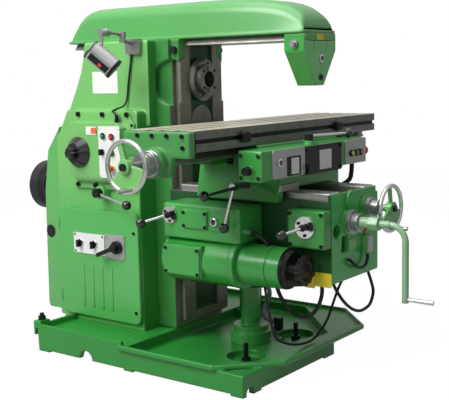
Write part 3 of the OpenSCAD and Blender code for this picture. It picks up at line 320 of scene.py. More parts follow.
def startMaterial(name, metallic=0.0, coat=0.0):
    material = bpy.data.materials.new(name)
    material.use_nodes = True
    tree = material.node_tree
    shader = tree.nodes["Principled BSDF"]
    shader.inputs["Metallic"].default_value = metallic
    shader.inputs["Coat Weight"].default_value = coat
    shader.inputs["Coat Roughness"].default_value = glossSet["coat"]
    return material, tree, shader


def joinGroup(tree, shader, group, values, depth, strength, soft=0.0):
    node = addNode(tree, "Group", node_tree=groups[group])
    for label, value in values.items():
        socket = node.inputs[label]
        socket.default_value = (*value, 1) if socket.type == "RGBA" else value
    bump = addNode(tree, "Bump", {"Height": node.outputs["Height"]}, Distance=depth,
                   Strength=strength)
    if soft:  # enamel pools over edges and in corners
        pool = addNode(tree, "Bevel", samples=6, Radius=soft)
        tree.links.new(pool.outputs["Normal"], bump.inputs["Normal"])
    tree.links.new(node.outputs["Color"], shader.inputs["Base Color"])
    tree.links.new(node.outputs["Roughness"], shader.inputs["Roughness"])
    tree.links.new(bump.outputs["Normal"], shader.inputs["Normal"])
    return node


def paintMaterial(name, paint, shade, grime=0.3, coat=0.2, paintedLowShade=0.0):
    material, tree, shader = startMaterial(name, 0.0, coat)
    values = {"Paint": paint, "Shade": shade, "Grime": grime, "Fade": paintedLowShade}
    joinGroup(tree, shader, "paint", values, **bumpSet["paint"])
    return material


def metalMaterial(name, metal, oil, lines, stain, metallic):
    material, tree, shader = startMaterial(name, metallic)
    values = {"Metal": metal, "Oil": oil, "Lines": lines, "Stain": stain}
    joinGroup(tree, shader, "metal", values, **bumpSet["metal"])
    return material


def grainMaterial(name, base, scuff, size, gloss, metallic=0.0, coat=0.0, depth=0.0001):
    material, tree, shader = startMaterial(name, metallic, coat)
    values = {"Base": base, "Scuff": scuff, "Size": size, "Gloss": gloss}
    joinGroup(tree, shader, "grain", values, depth, **bumpSet["grain"])
    return material


# turns that bring a piece's Z axis to face a way
quarter = math.radians(90)
towards = {"left": (0, -quarter, 0), "front": (quarter, 0, 0), "right": (0, quarter, 0), "up": (0, 0, 0)}
dialFace = {"count": 80, "base": (0.38, 0.39, 0.40), "scuff": (0.3, 0.3, 0.3), "mark": (0.06, 0.06, 0.06)}


def dialMaterial(name, centre, turn):
    material, tree, shader = startMaterial(name, 0.7)
    shift = addNode(tree, "Mapping", {"Vector": objectPlace(tree)}, vector_type="TEXTURE",
                    Location=centre, Rotation=turn)
    marks = addNode(tree, "Group", {"Vector": shift.outputs[0]}, node_tree=groups["marks"],
                    Count=dialFace["count"])
    values = {"Base": dialFace["base"], "Scuff": dialFace["scuff"], "Size": 500.0, "Gloss": 0.3}
    grain = joinGroup(tree, shader, "grain", values, 0.0001, **bumpSet["grain"])
    color = mixColor(tree, marks.outputs["Mask"], grain.outputs["Color"], dialFace["mark"])
    tree.links.new(color, shader.inputs["Base Color"])
    return material


# name of the material, paint, shade, then grime, coat and painted low shade
paintLooks = {
    # only the green enamel takes the painted low shade, darker below 0.8 m
    "green": ("greenEnamel", (0.195, 0.490, 0.145), (0.120, 0.465, 0.112), 0.3, 0.2, 1.0),
    "sheetGreen": ("greenSheet", (0.120, 0.430, 0.115), (0.090, 0.385, 0.10), 0.25),
    # painted shade: a darker copy of the green enamel, toning down the top light on the overarm's hood
    "armGreen": ("armEnamel", (0.095, 0.360, 0.095), (0.072, 0.325, 0.080), 0.2),
    # painted light: a brighter enamel for the knee's front faces
    "frontGreen": ("frontEnamel", (0.036, 0.430, 0.075), (0.030, 0.380, 0.065), 0.3, 0.1),
    # painted shade for the flanks beside the column's ways
    "flankShadeGreen": ("deepEnamel", (0.045, 0.240, 0.050), (0.035, 0.200, 0.040), 0.4, 0.1),
    "doorGreen": ("doorEnamel", (0.092, 0.430, 0.100), (0.070, 0.385, 0.085), 0.25),
    # painted sheen for the front of the arbor support
    "sheenGreen": ("paleEnamel", (0.200, 0.650, 0.220), (0.180, 0.600, 0.200), 0.2),
    # light green with a whitish cast that is a painted highlight
    "crankGreen": ("crankEnamel", (0.280, 0.480, 0.270), (0.240, 0.440, 0.235), 0.2),
    "bracketGreen": ("bracketEnamel", (0.068, 0.290, 0.074), (0.055, 0.260, 0.062), 0.3),
    # darker enamel; on the column's front faces and the saddle's left faces it is painted shade
    "columnGreen": ("columnEnamel", (0.034, 0.265, 0.040), (0.028, 0.225, 0.034), 0.4),
    "baseGreen": ("baseEnamel", (0.019, 0.295, 0.036), (0.015, 0.235, 0.028), 0.6, 0.05),
    "kneeGreen": ("kneeEnamel", (0.048, 0.355, 0.060), (0.038, 0.295, 0.050), 0.45),
    # painted shadow: a near black green for flanks and recesses that the table, saddle and boxes keep out of
    # the light
    "shadowGreen": ("recessEnamel", (0.02, 0.085, 0.028), (0.015, 0.06, 0.02), 0.8, 0.1)}
# name, metal, oil, tool lines along the three axes, stain, metallic
metalLooks = {
    "ways": ("oiledWays", (0.27, 0.27, 0.23), (0.15, 0.14, 0.11), (300, 300, 5), 0.7, 0.4),
    "darkSteel": ("darkSteel", (0.10, 0.10, 0.10), (0.05, 0.045, 0.04), (200, 200, 200), 0.5, 0.8),
    "noseSteel": ("noseSteel", (0.24, 0.24, 0.23), (0.10, 0.09, 0.08), (200, 200, 200), 0.4, 0.85),
    "steel": ("groundSteel", (0.42, 0.42, 0.41), (0.25, 0.22, 0.18), (200, 6, 200), 0.35, 0.9),
    "tableEdge": ("tableEdge", (0.19, 0.195, 0.18), (0.10, 0.10, 0.08), (5, 300, 300), 0.6, 0.7),
    "tableTop": ("tableTop", (0.65, 0.63, 0.50), (0.43, 0.32, 0.20), (14, 40, 40), 0.6, 0.1)}
# name, base, scuff, grain size, roughness, then metallic, coat and depth of the grain
grainLooks = {
    "screw": ("blackOxide", (0.02, 0.022, 0.02), (0.06, 0.06, 0.06), 400.0, 0.45, 0.6),
    "chrome": ("chrome", (0.62, 0.62, 0.63), (0.48, 0.47, 0.46), 900.0, 0.10, 1.0, 0.0, 0.00003),
    "rim": ("wheelRim", (0.54, 0.54, 0.53), (0.44, 0.44, 0.43), 600.0, 0.17, 0.9, 0.0, 0.00002),
    "silver": ("lampShell", (0.5, 0.5, 0.5), (0.44, 0.44, 0.44), 700.0, 0.3, 0.95, 0.0, 0.00001),
    "black": ("blackPlastic", (0.012, 0.012, 0.013), (0.04, 0.04, 0.04), 500.0, 0.28),
    "ball": ("blackBall", (0.008, 0.008, 0.009), (0.02, 0.02, 0.02), 300.0, 0.12, 0.0, 0.4),
    "rubber": ("cableRubber", (0.016, 0.016, 0.017), (0.045, 0.045, 0.045), 600.0, 0.5),
    "hose": ("hosePlastic", (0.30, 0.31, 0.33), (0.42, 0.43, 0.45), 300.0, 0.35),
    "white": ("whitePlate", (0.80, 0.81, 0.79), (0.68, 0.68, 0.66), 500.0, 0.38),
    "grey": ("greyPlate", (0.42, 0.43, 0.42), (0.33, 0.33, 0.32), 500.0, 0.4, 0.4),
    "motor": ("motorPaint", (0.022, 0.024, 0.026), (0.06, 0.06, 0.065), 250.0, 0.42),
    "yellow": ("yellowPlate", (0.80, 0.66, 0.01), (0.62, 0.5, 0.03), 400.0, 0.35),
    "buttonGreen": ("buttonGreen", (0.01, 0.26, 0.17), (0.03, 0.34, 0.24), 500.0, 0.2, 0.0, 0.4),
    "buttonRed": ("buttonRed", (0.62, 0.05, 0.015), (0.7, 0.12, 0.05), 500.0, 0.2, 0.0, 0.4),
    "buttonYellow": ("buttonYellow", (0.72, 0.62, 0.02), (0.6, 0.5, 0.05), 500.0, 0.2, 0.0, 0.4),
    "orange": ("orangePrint", (0.75, 0.14, 0.04), (0.65, 0.2, 0.09), 400.0, 0.45),
    "bronze": ("bronze", (0.42, 0.28, 0.11), (0.3, 0.2, 0.09), 400.0, 0.3, 0.9),
    "lamp": ("lampGlass", (0.85, 0.83, 0.76), (0.8, 0.78, 0.7), 500.0, 0.2)}
# name, centre of the dial and turn of its axis
dialLooks = {
    "crankDial": ("crankDial", (-0.06, 0, 0.628), towards["front"]),
    "crossDial": ("crossDial", (0.085, 0, 0.668), towards["front"]),
    "tableDial": ("tableDial", (0, -0.334, 0.897), towards["right"])}
finishes = {}
for make, looks in ((paintMaterial, paintLooks), (metalMaterial, metalLooks), (grainMaterial, grainLooks),
                    (dialMaterial, dialLooks)):
    for finish, facts in looks.items():
        finishes[finish] = make(*facts)
for dull in ("black", "rubber", "motor", "screw", "shadowGreen"):  # oily and dusty, so they mirror little; the painted shadow mirrors little as well
    shader = finishes[dull].node_tree.nodes["Principled BSDF"]
    shader.inputs["Specular IOR Level"].default_value = glossSet["dull"]
print("finishes made:", len(finishes))


def dress(obj, main, *spots):  # spots: finish name and a test of a face's centre and normal
    obj.data.materials.clear()
    for name in (main, *(s[0] for s in spots)):
        obj.data.materials.append(finishes[name])
    for face in obj.data.polygons:
        face.material_index = 0
        for i, (name, test) in enumerate(spots):
            if test(face.center, face.normal):
                face.material_index = i + 1


# rounded and dressed copy of a casting that stands for its node
def castCopy(node, width, main, *spots, segments=4, drop=None, shape=None, split=False):
    piece = newObject(node + "_cast", nodes[node].data.copy())
    useOnly(piece)
    if drop:
        pickParts(piece.data, "FACE", lambda face: drop(face.center))
        bpy.ops.mesh.delete(type="FACE")
        editMode(False)
    editMode(True)
    selectAll()
    bpy.ops.mesh.remove_doubles(threshold=edgeSet["weld"])
    if drop:
        bpy.ops.mesh.fill_holes(sides=0)
        selectAll()
    bpy.ops.mesh.dissolve_limited(angle_limit=math.radians(edgeSet["flat"]))
    if split:
        bpy.ops.mesh.vert_connect_concave()
    editMode(False)
    bpy.ops.mesh.customdata_custom_splitnormals_clear()
    if shape:
        shape(piece.data)
    roundEdges(piece, width, segments)
    editMode(True)
    selectAll()
    bpy.ops.mesh.vert_connect_concave()
    editMode(False)
    smoothShade(piece)
    weigh = piece.modifiers.new("weigh", "WEIGHTED_NORMAL")
    weigh.keep_sharp = True
    bpy.ops.object.modifier_apply(modifier="weigh")
    dress(piece, main, *spots)
    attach(piece, bodyOf[node])
    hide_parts(node)


def rideOn(obj, body, slot, *replaced):
    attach(obj, body)
    if replaced:
        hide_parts(*replaced)
    return obj


# free cables, hoses and leads, along the same routes as the solids
def smoothRoute(points, steps):
    pts = [Vector(p) / 1000 for p in points]
    out = []
    for i in range(len(pts) - 1):
        a, b, c, d = pts[max(i - 1, 0)], pts[i], pts[i + 1], pts[min(i + 2, len(pts) - 1)]
        for j in range(steps):
            u = j / steps
            out.append(0.5 * (2 * b + (c - a) * u + (2 * a - 5 * b + 4 * c - d) * u * u
                              + (3 * b - a - 3 * c + d) * u ** 3))
    return out + [pts[-1]]


def tube(name, path, diameter, finish, swell=None):
    data = bpy.data.curves.new(name, "CURVE")
    data.dimensions = "3D"
    data.bevel_depth = diameter / 2
    data.bevel_resolution = 5
    data.use_fill_caps = True
    spline = data.splines.new("POLY")
    spline.points.add(len(path) - 1)
    for i, (point, place) in enumerate(zip(spline.points, path)):
        point.co = (*place, 1)
        point.radius = swell(i, len(path)) if swell else 1
    piece = newObject(name, data)
    useOnly(piece)
    bpy.ops.object.convert(target="MESH")
    piece = active()
    smoothShade(piece, edgeSet["round"])
    dress(piece, finish)
    return piece


def evenPath(path, gap):
    out, spare = [path[0]], gap
    for a, b in zip(path, path[1:]):
        left = (b - a).length
        at = a
        while left >= spare:
            at = at + (b - at).normalized() * spare
            out.append(at)
            left -= spare
            spare = gap
        spare -= left
    return out


cables = {
    "cable_left": {"d": 0.016, "route": [
        (-242, -540, 387), (-228, -552, 335), (-196, -580, 268), (-160, -620, 246), (-136, -655, 270),
        (-130, -680, 330), (-144, -690, 385), (-163, -694, 412)]},
    "cable_low": {"d": 0.011, "route": [
        (-290, -520, 384), (-304, -545, 300), (-283, -560, 190), (-205, -560, 140), (-110, -560, 112),
        (-20, -562, 106), (45, -566, 130), (85, -580, 180), (90, -604, 250), (70, -645, 330), (44, -695, 394),
        (36, -727, 414)]},
    "cable_right": {"d": 0.013, "route": [
        (130, -745, 392), (160, -745, 340), (176, -745, 296), (150, -745, 252), (100, -745, 239),
        (50, -745, 242), (-10, -744, 266), (-70, -740, 312), (-104, -724, 370), (-110, -712, 410),
        (-110, -727, 434)]}}
for node, facts in cables.items():
    path = smoothRoute(facts["route"], 5)
    piece = tube(node + "_line", path, facts["d"], "rubber")
    rideOn(piece, "knee", "cable_rubber", node)
    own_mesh(piece)

leads = {
    "lampLead": {"d": 0.008, "body": "frame", "nodes": ["lamp_cable"], "route": [
        (-222, 204, 1301), (-222, 214, 1250), (-222, 230, 1170), (-222, 240, 1110), (-232, 252, 1080),
        (-262, 268, 1068), (-292, 262, 1060), (-300, 240, 1050), (-300, 232, 1036)]},
    "feedConduit": {"d": 0.016, "body": "knee", "route": [
        (-292, -454, 590), (-292, -486, 588), (-288, -514, 570), (-282, -528, 552), (-278, -532, 543)]},
    "frontLead": {"d": 0.013, "body": "knee", "route": [
        (68, -776, 485), (66, -778, 458), (38, -780, 434), (-6, -780, 436), (-46, -782, 454),
        (-66, -774, 474), (-68, -760, 476)]},
    "saddleConduit": {"d": 0.020, "body": "saddle", "route": [
        (329, -560, 822), (329, -558, 778), (321, -552, 742), (285, -534, 722), (260, -526, 728),
        (236, -526, 728)]}}
for name, facts in leads.items():
    path = smoothRoute(facts["route"], 6)
    piece = tube(name, path, facts["d"], "rubber")
    rideOn(piece, facts["body"], "cable_rubber", *facts.get("nodes", []))

hoseSet = {"d": 0.024, "rib": 0.006, "perRib": 6, "depth": 0.2, "route": [
    (345, -38, 235), (350, -60, 228), (362, -84, 200), (356, -97, 164), (330, -101, 133), (298, -106, 110),
    (266, -122, 95), (240, -150, 87), (221, -187, 84), (212, -227, 84)]}


def ribSwell(i, n):  # plain ends and ribs between them
    if min(i, n - 1 - i) < hoseSet["perRib"]:
        return 1
    return 1 - hoseSet["depth"] * (0.5 - 0.5 * math.cos(math.tau * i / hoseSet["perRib"]))


hosePath = evenPath(smoothRoute(hoseSet["route"], 9), hoseSet["rib"] / hoseSet["perRib"])
hose = tube("coolantHose", hosePath, hoseSet["d"], "hose", ribSwell)
rideOn(hose, "frame", "hose_grey", "coolant_hose")
print("cables and hose laid")

# castings and sheet pieces, with their edges rounded
castCopy("base", 0.009, "baseGreen")
castCopy("pedestal", 0.007, "kneeGreen", ("darkSteel", lambda c, n: c.z > 0.47))


def within(u, v, r):  # inside a circle, from the distances to its middle
    return u * u + v * v < r * r


rimSet = {"rear": 0.026, "low": 0.034, "steps": 6, "slack": 0.0006, "flank": 0.27, "boxSide": -0.322}


def wideRim(mesh, width, pick):  # wide rounding along the edges that the test picks
    sides = {}
    for face in mesh.polygons:
        for key in face.edge_keys:
            sides.setdefault(key, []).append(face.normal.copy())

    def picked(edge):
        return pick([mesh.vertices[v].co for v in edge.vertices], sides.get(edge.key, []))

    pickParts(mesh, "EDGE", picked)
    bpy.ops.mesh.bevel(offset=width, segments=rimSet["steps"])
    editMode(False)


def rearRim(mesh):  # along the back of the column's flanks
    def pick(ends, normals):
        flank = all(abs(abs(c.x) - rimSet["flank"]) < rimSet["slack"] for c in ends)
        rear = any(n.y > 0.2 and abs(n.x) < 0.1 for n in normals)
        return flank and rear and (ends[0] - ends[1]).length > 0.05

    wideRim(mesh, rimSet["rear"], pick)


def lowRim(mesh):  # along the lower edge of the speed box, which curves under
    def pick(ends, normals):
        return all(abs(c.x - rimSet["boxSide"]) < rimSet["slack"] and c.z < 0.79 for c in ends)

    wideRim(mesh, rimSet["low"], pick)


def inRecess(c, n):
    floor = abs(c.x) < 0.078 and 0.0105 < c.y < 0.0135 and n.y < -0.5
    return floor and not within(c.x, c.z - 1.005, 0.0725)


def onWays(c, n):
    beside = c.z > 1.27 and abs(c.x) > 0.108
    return c.y < 0.046 and abs(c.x) < 0.1535 and not beside and not inRecess(c, n)


# painted shade: darker enamel on the front faces and on the flanks beside the ways, and a near black one on
# the recess floor beside the disc
castCopy("column", 0.018, "green", ("columnGreen", lambda c, n: n.y < -0.6),
         ("flankShadeGreen", lambda c, n: n.x < -0.6 and c.x > -0.2 and c.y < 0.16), ("ways", onWays),
         ("shadowGreen", inRecess), shape=rearRim)
# the wall of the hand hole is dressed black: painted shade
castCopy("rear_cover", 0.020, "sheetGreen",
         ("screw", lambda c, n: abs(n.x) < 0.5 and within(c.y - 0.732, c.z - 0.49, 0.0315)))
castCopy("speed_box", 0.0185, "green",
         ("black", lambda c, n: c.z > 1.0125 and 0.218 < c.y < 0.246 and c.x > -0.315), shape=lowRim)
castCopy("cabinet_door", 0.009, "doorGreen", ("screw", lambda c, n: c.x < -0.2905 and c.y < 0.19))
# painted sheen: a paler enamel on the front faces
castCopy("arbor_support", 0.005, "kneeGreen", ("sheenGreen", lambda c, n: n.y < -0.6), split=True)


def kneeShade(c, n):  # painted shade on the left flank and in the recess of the front
    return c.x < -0.18 and n.x < -0.7 or (c.y > -0.7605 and n.y < -0.5 and c.z < 0.66)


# the front faces take a brighter enamel: painted light
castCopy("knee", 0.008, "kneeGreen", ("frontGreen", lambda c, n: n.y < -0.6), ("shadowGreen", kneeShade),
         ("steel", lambda c, n: c.z > 0.7195 and c.y > -0.748), split=True)
boxScrews = [(y + a * dy, z + b * dz) for a in (-1, 1) for b in (-1, 1)
             for y, dy, z, dz in ((-0.23, 0.054, 0.634, 0.027), (-0.172, 0.082, 0.464, 0.048))]


def onBoxChrome(c, n):  # the sight ring and the lever's disc
    ring, disc = within(c.y + 0.33, c.z - 0.632, 0.0175), within(c.y + 0.1, c.z - 0.646, 0.037)
    return c.x < -0.3525 and (ring or disc)


def onBoxScrew(c, n):
    return c.x < -0.3602 and any(within(c.y - y, c.z - z, 0.0068) for y, z in boxScrews)


castCopy("feed_box", 0.012, "kneeGreen", ("chrome", onBoxChrome), ("screw", onBoxScrew))
castCopy("feed_motor", 0.004, "kneeGreen", ("black", lambda c, n: c.y < -0.6215))


def onLeverScrew(c, n):  # one near each corner
    return c.x < -0.2423 and within(abs(c.y + 0.678) - 0.070, abs(c.z - 0.614) - 0.060, 0.0085)


castCopy("lever_box", 0.0065, "columnGreen", ("screw", onLeverScrew),
         ("chrome", lambda c, n: c.x < -0.2423 and within(c.y + 0.678, c.z - 0.623, 0.0435)))


leanSet = {"side": -0.238, "slack": 0.0005, "lean": 0.030}


def leanSide(mesh):  # the left apron of the saddle narrows upwards
    side = [v for v in mesh.vertices if abs(v.co.x - leanSet["side"]) < leanSet["slack"]]
    low, top = min(v.co.z for v in side), max(v.co.z for v in side)
    for v in side:
        v.co.x += leanSet["lean"] * (v.co.z - low) / (top - low)


def onScrewBlock(c, n):
    return abs(c.x) < 0.0455 and abs(c.y + 0.334) < 0.049 and 0.848 < c.z < 0.903


# painted shade: darker enamel on the left faces, near black where the table shades the upper block
castCopy("saddle", 0.009, "kneeGreen", ("columnGreen", lambda c, n: n.x < -0.5),
         ("shadowGreen", lambda c, n: c.x < -0.27 and n.x < -0.5 and c.z > 0.85), ("bronze", onScrewBlock),
         ("steel", lambda c, n: c.y < -0.5495 and c.z < 0.776 and c.x < -0.089), shape=leanSide)


def onEndScrew(c, n):
    return -0.4405 < c.x < -0.4255 and abs(n.x) > 0.5 and not within(c.y + 0.558, c.z - 0.852, 0.02)


castCopy("saddle_box", 0.014, "kneeGreen", ("black", lambda c, n: c.x < -0.4405), ("screw", onEndScrew),
         drop=lambda c: c.x > 0.2 and c.z < 0.8198)


def onBracketScrew(c, n):
    return -0.703 < c.x < -0.6965 and not within(c.y + 0.334, c.z - 0.897, 0.0565)


castCopy("table_brackets", 0.014, "bracketGreen", ("screw", onBracketScrew),
         ("black", lambda c, n: c.y < -0.4945))
castCopy("coolant_pump", 0.006, "kneeGreen",
         ("motor", lambda c, n: c.z > 0.2705 or c.x > 0.43 or c.y < -0.031))
castCopy("table", 0.002, "tableEdge", ("tableTop", lambda c, n: c.z > 1.0115 and n.z > 0.7),
         ("screw", lambda c, n: -0.4938 < c.y < -0.4835 and 0.965 < c.z < 0.981), segments=2)


def isLead(c):  # the conduit and the short cable, which are laid as cords
    return (c.x < -0.2 and c.y < -0.4665) or (c.z < 0.4835 and c.y < -0.7)


castCopy("knee_fittings", 0.005, "green", ("buttonRed", lambda c, n: c.z > 0.5595 and c.x > 0.05),
         ("grey", lambda c, n: c.y < -0.7893 and c.x > 0), ("chrome", lambda c, n: c.y > -0.467), drop=isLead)
print("castings rounded")

# nodes whose solids are right as they are
plainFinish = {"screw": ["anchor_bolts"], "noseSteel": ["spindle", "spindle_bearings"],
               "motor": ["main_motor"], "steel": ["lift_screw", "lead_screw", "lamp_bracket", "lamp_arm"],
               "buttonGreen": ["start_button", "feed_start"], "buttonYellow": ["jog_button", "feed_jog"],
               "buttonRed": ["stop_button", "feed_stop", "panel_estop", "saddle_estop"],
               "black": ["panel_selector", "main_switch", "selector_left", "selector_right"]}
for finish, names in plainFinish.items():
    for node in names:
        dress(nodes[node], finish)
dress(nodes["control_panel"], "white", ("yellow", lambda c, n: c.x < -0.3305),
      ("screw", lambda c, n: c.x < -0.3305 and not within(c.y - 0.24, c.z - 0.817, 0.02)))
dress(nodes["column_fittings"], "white", ("screw", lambda c, n: -0.2935 < c.x < -0.2845 or c.y < 0.05))
dress(nodes["switch_plates"], "white", ("screw", lambda c, n: c.x < -0.2945),
      ("grey", lambda c, n: c.y < 0.338))
dress(nodes["support_fittings"], "screw", ("steel", lambda c, n: c.x < -0.11),
      ("chrome", lambda c, n: c.z > 1.24 and abs(c.x) < 0.02))

# work lamp: bands as (radius, height) pairs along the aim; blocks by size, rounding, and place out and along
lampSet = {"mid": Vector((-0.409, 0.201, 1.284)), "aim": Vector((46, -58, -67)).normalized(),
           "out": (-0.9, -0.3, -0.4), "bands": {
               "black": [(0.0452, 0.0595), (0.0456, 0.061), (0.0456, 0.072), (0.0445, 0.0735),
                         (0.039, 0.0735), (0.0385, 0.066)],
               "darkSteel": [(0.036, -0.0605), (0.043, -0.0605), (0.0448, -0.058), (0.0448, -0.052),
                             (0.0438, -0.051)]},
           "blocks": [
               ("lampStrip", (0.030, 0.010, 0.098), 0.003, 0.0425, 0.006, "black", "black_plastic"),
               ("lampSwitch", (0.012, 0.005, 0.016), 0.0012, 0.0485, 0.016, "buttonRed", "button_red")]}


def onBulb(c, n):
    v = c - lampSet["mid"]
    return v.dot(lampSet["aim"]) > 0.006 and n.dot(v) > 0 and v.cross(lampSet["aim"]).length < 0.0256


dress(nodes["lamp_head"], "silver", ("lamp", onBulb))

# levers: middle and radius of the hub, and middle of the ball, which is small in the solid and larger over it
ballSet = {"solid": 0.0162, "over": 0.0205}
levers = {
    "speed_lever": {"hub": (-0.324, 0.343, 0.703), "tip": (-0.342, 0.153, 0.663), "size": 0.025},
    "front_lever": {"hub": (-0.2613, -0.678, 0.623), "tip": (-0.3533, -0.642, 0.607), "size": 0.0185},
    "rear_lever": {"hub": (-0.3733, -0.1, 0.646), "tip": (-0.4653, -0.038, 0.62), "size": 0.0185},
    "table_lever": {"hub": (-0.059, -0.585, 0.957), "tip": (0.253, -0.585, 0.949), "size": 0.024},
    "clamp_lever": {"hub": (-0.4, -0.52, 0.795), "tip": (-0.44, -0.348, 0.745), "size": 0.024,
                    "rod": "screw"},
    "lock_lever": {"hub": (-0.368, -0.446, 0.78), "tip": (-0.394, -0.404, 0.62), "size": 0.001}}


def leverFinish(node, facts):
    hub, tip = Vector(facts["hub"]), Vector(facts["tip"])
    dress(nodes[node], facts.get("rod", "chrome"),
          ("ball", lambda c, n: (c - tip).length < ballSet["solid"]),
          ("screw", lambda c, n: (c - hub).length < facts["size"]))


for node, facts in levers.items():
    leverFinish(node, facts)
# the crank's enamel carries a painted highlight in its whitish cast
dress(nodes["crank"], "crankGreen", ("crankDial", lambda c, n: c.y > -0.8185 and c.z > 0.57),
      ("chrome", lambda c, n: c.y < -1.0205 and c.z < 0.4))
dress(nodes["feed_dial"], "black",
      ("chrome", lambda c, n: c.y > -0.6825 and within(c.x + 0.272, c.z - 0.462, 0.0195)))


# handwheels: distances along the axis from the rim's middle, and radii
wheelSet = {"dial": 0.03, "rim": 0.0815, "rimFront": -0.0087, "rimInner": 0.06, "bolt": 0.0135}


def wheelFinish(node, dial, centre, axis):
    def parts(c):  # place along the axis and distance from it
        v = c - Vector(centre)
        return v[axis], math.sqrt(v.length_squared - v[axis] * v[axis])

    def onRim(c, n):
        along, r = parts(c)
        return r > wheelSet["rim"] or (along < wheelSet["rimFront"] and r > wheelSet["rimInner"])

    def onBolt(c, n):
        along, r = parts(c)
        return along < -wheelSet["bolt"] and r < wheelSet["bolt"]

    dress(nodes[node], "green", (dial, lambda c, n: parts(c)[0] > wheelSet["dial"]), ("rim", onRim),
          ("screw", onBolt))


wheelFinish("cross_wheel", "crossDial", (0.085, -0.872, 0.668), 1)
wheelFinish("table_wheel", "tableDial", (-0.852, -0.334, 0.897), 0)


def onSaddlePanel(c, n):
    jog = c.y < -0.6135 and -0.262 < c.x < -0.17 and 0.816 < c.z < 0.892
    return jog or (-0.133 < c.x < 0.147 and c.y < -0.6095)


dress(nodes["saddle_plates"], "grey", ("black", onSaddlePanel), ("yellow", lambda c, n: c.x > 0.3651),
      ("screw", lambda c, n: c.y < -0.6155 and c.x > 0.2))
print("solids dressed")

# overarm: cast hood over a flat flange, with the dovetail below
armSet = {"front": -0.605, "back": 0.695, "low": 1.360, "flange": 0.012, "half": 0.125, "corner": 0.016,
          "inset": 0.008, "shoulder": 0.052, "share": 0.62, "spread": 1.35, "crown": 0.004, "sunk": 0.002,
          "doveLow": 0.112, "doveTop": 0.092, "doveDeep": 0.028, "doveShort": 0.03, "smooth": 42,
          "hood": [(-0.597, 0.010), (-0.592, 0.034), (-0.584, 0.052), (-0.572, 0.068), (-0.556, 0.083),
                   (-0.532, 0.098), (-0.495, 0.112), (-0.450, 0.122), (-0.385, 0.132), (-0.300, 0.139),
                   (-0.200, 0.144), (-0.100, 0.146), (0.2, 0.146), (0.48, 0.146), (0.550, 0.144),
                   (0.585, 0.137), (0.612, 0.126), (0.636, 0.108), (0.655, 0.084), (0.668, 0.058),
                   (0.678, 0.032), (0.684, 0.010)]}


def hoodSection(height):  # upright sides, a wide shoulder and a nearly flat top
    half = armSet["half"] - armSet["inset"]
    shoulder = min(armSet["shoulder"], height * armSet["share"])
    out = []
    for i in range(13):
        a = math.radians(90 * i / 12)
        x = half - armSet["inset"] - shoulder * armSet["spread"] * (1 - math.cos(a))
        z = height - (shoulder + armSet["crown"]) * (1 - math.sin(a))
        out.append((x, max(z, armSet["crown"])))
    return [(half, 0.0)] + out + [(-x, z) for x, z in reversed(out)] + [(-half, 0.0)]


def buildHood():
    low = armSet["low"] + armSet["flange"] - armSet["sunk"]
    rows = [[Vector((x, y, low + z)) for x, z in hoodSection(h)] for y, h in armSet["hood"]]
    bpy.ops.mesh.primitive_grid_add(x_subdivisions=len(rows[0]) - 1, y_subdivisions=len(rows) - 1, size=1)
    hood = active()
    for j, row in enumerate(rows):
        for i, place in enumerate(row):
            hood.data.vertices[j * len(row) + i].co = place
    hood.location = (0, 0, 0)
    editMode(True)
    selectAll()
    bpy.ops.mesh.region_to_loop()
    bpy.ops.mesh.edge_face_add()
    selectAll()
    bpy.ops.mesh.normals_make_consistent(inside=False)
    editMode(False)
    return hood


def box(size, place=(0, 0, 0)):
    bpy.ops.mesh.primitive_cube_add(size=1, location=place, scale=size)
    return settle(active(), "box")


def buildFlange():
    size = (2 * armSet["half"], armSet["back"] - armSet["front"], armSet["flange"])
    place = (0, (armSet["back"] + armSet["front"]) / 2, armSet["low"] + armSet["flange"] / 2)
    flange = box(size, place)
    roundUprights(flange, armSet["corner"], 4, 0.005)
    bevelEdges(flange, 0.0025, 2)
    return flange


def buildDove():
    dove = box((1, 1, 1))
    for v in dove.data.vertices:
        low = v.co.z < 0
        x = math.copysign(armSet["doveLow"] if low else armSet["doveTop"], v.co.x)
        y = armSet["front"] if v.co.y < 0 else armSet["back"] - armSet["doveShort"]
        v.co = (x, y, armSet["low"] - (armSet["doveDeep"] if low else -0.001))
    bevelEdges(dove, 0.002, 2)
    return dove


hood, flange, dove = buildHood(), buildFlange(), buildDove()
# the overarm takes the darker copy of the green enamel: painted shade
dress(dove, "ways", ("armGreen", lambda c, n: n.y < -0.5))
for part in (hood, flange):
    dress(part, "armGreen")
overarm = joinAll([hood, flange, dove], "overarmHood")
smoothShade(overarm, armSet["smooth"])
rideOn(overarm, "overarm", "green_paint", "overarm")
print("overarm made")


def turned(profile, vertices):  # round piece about Z: a disc drawn up through (radius, height) pairs
    radius, height = profile[0]
    bpy.ops.mesh.primitive_circle_add(vertices=vertices, radius=radius, fill_type="NGON", location=(0, 0, 0))
    piece = active()
    useOnly(piece)
    editMode(True)
    selectAll()
    bpy.ops.transform.translate(value=(0, 0, height))
    for r, h in profile[1:]:
        bpy.ops.mesh.extrude_region_move(TRANSFORM_OT_translate={"value": (0, 0, h - height)})
        bpy.ops.transform.resize(value=(r / radius, r / radius, 1), center_override=(0, 0, h))
        radius, height = r, h
    selectAll()
    bpy.ops.mesh.normals_make_consistent(inside=False)
    editMode(False)
    return piece


def block(size, rounding, segments=2):
    piece = box(size)
    bevelEdges(piece, rounding, segments)
    return piece


def roundedPlate(width, height, thick, corner):  # lies in X and Y, stands up along Z
    piece = box((width, height, thick), (0, 0, thick / 2))
    roundUprights(piece, corner, 3, thick / 2)
    bevelEdges(piece, min(0.0005, thick / 3), 1)
    return piece


def stand(piece, place, way):
    piece.location = place
    piece.rotation_euler = towards[way] if isinstance(way, str) else way
    return settle(piece, piece.name)


def fitPiece(piece, name, finish, body, slot, angle=edgeSet["smooth"]):
    piece.name = name
    dress(piece, finish)
    smoothShade(piece, angle)
    rideOn(piece, body, slot)


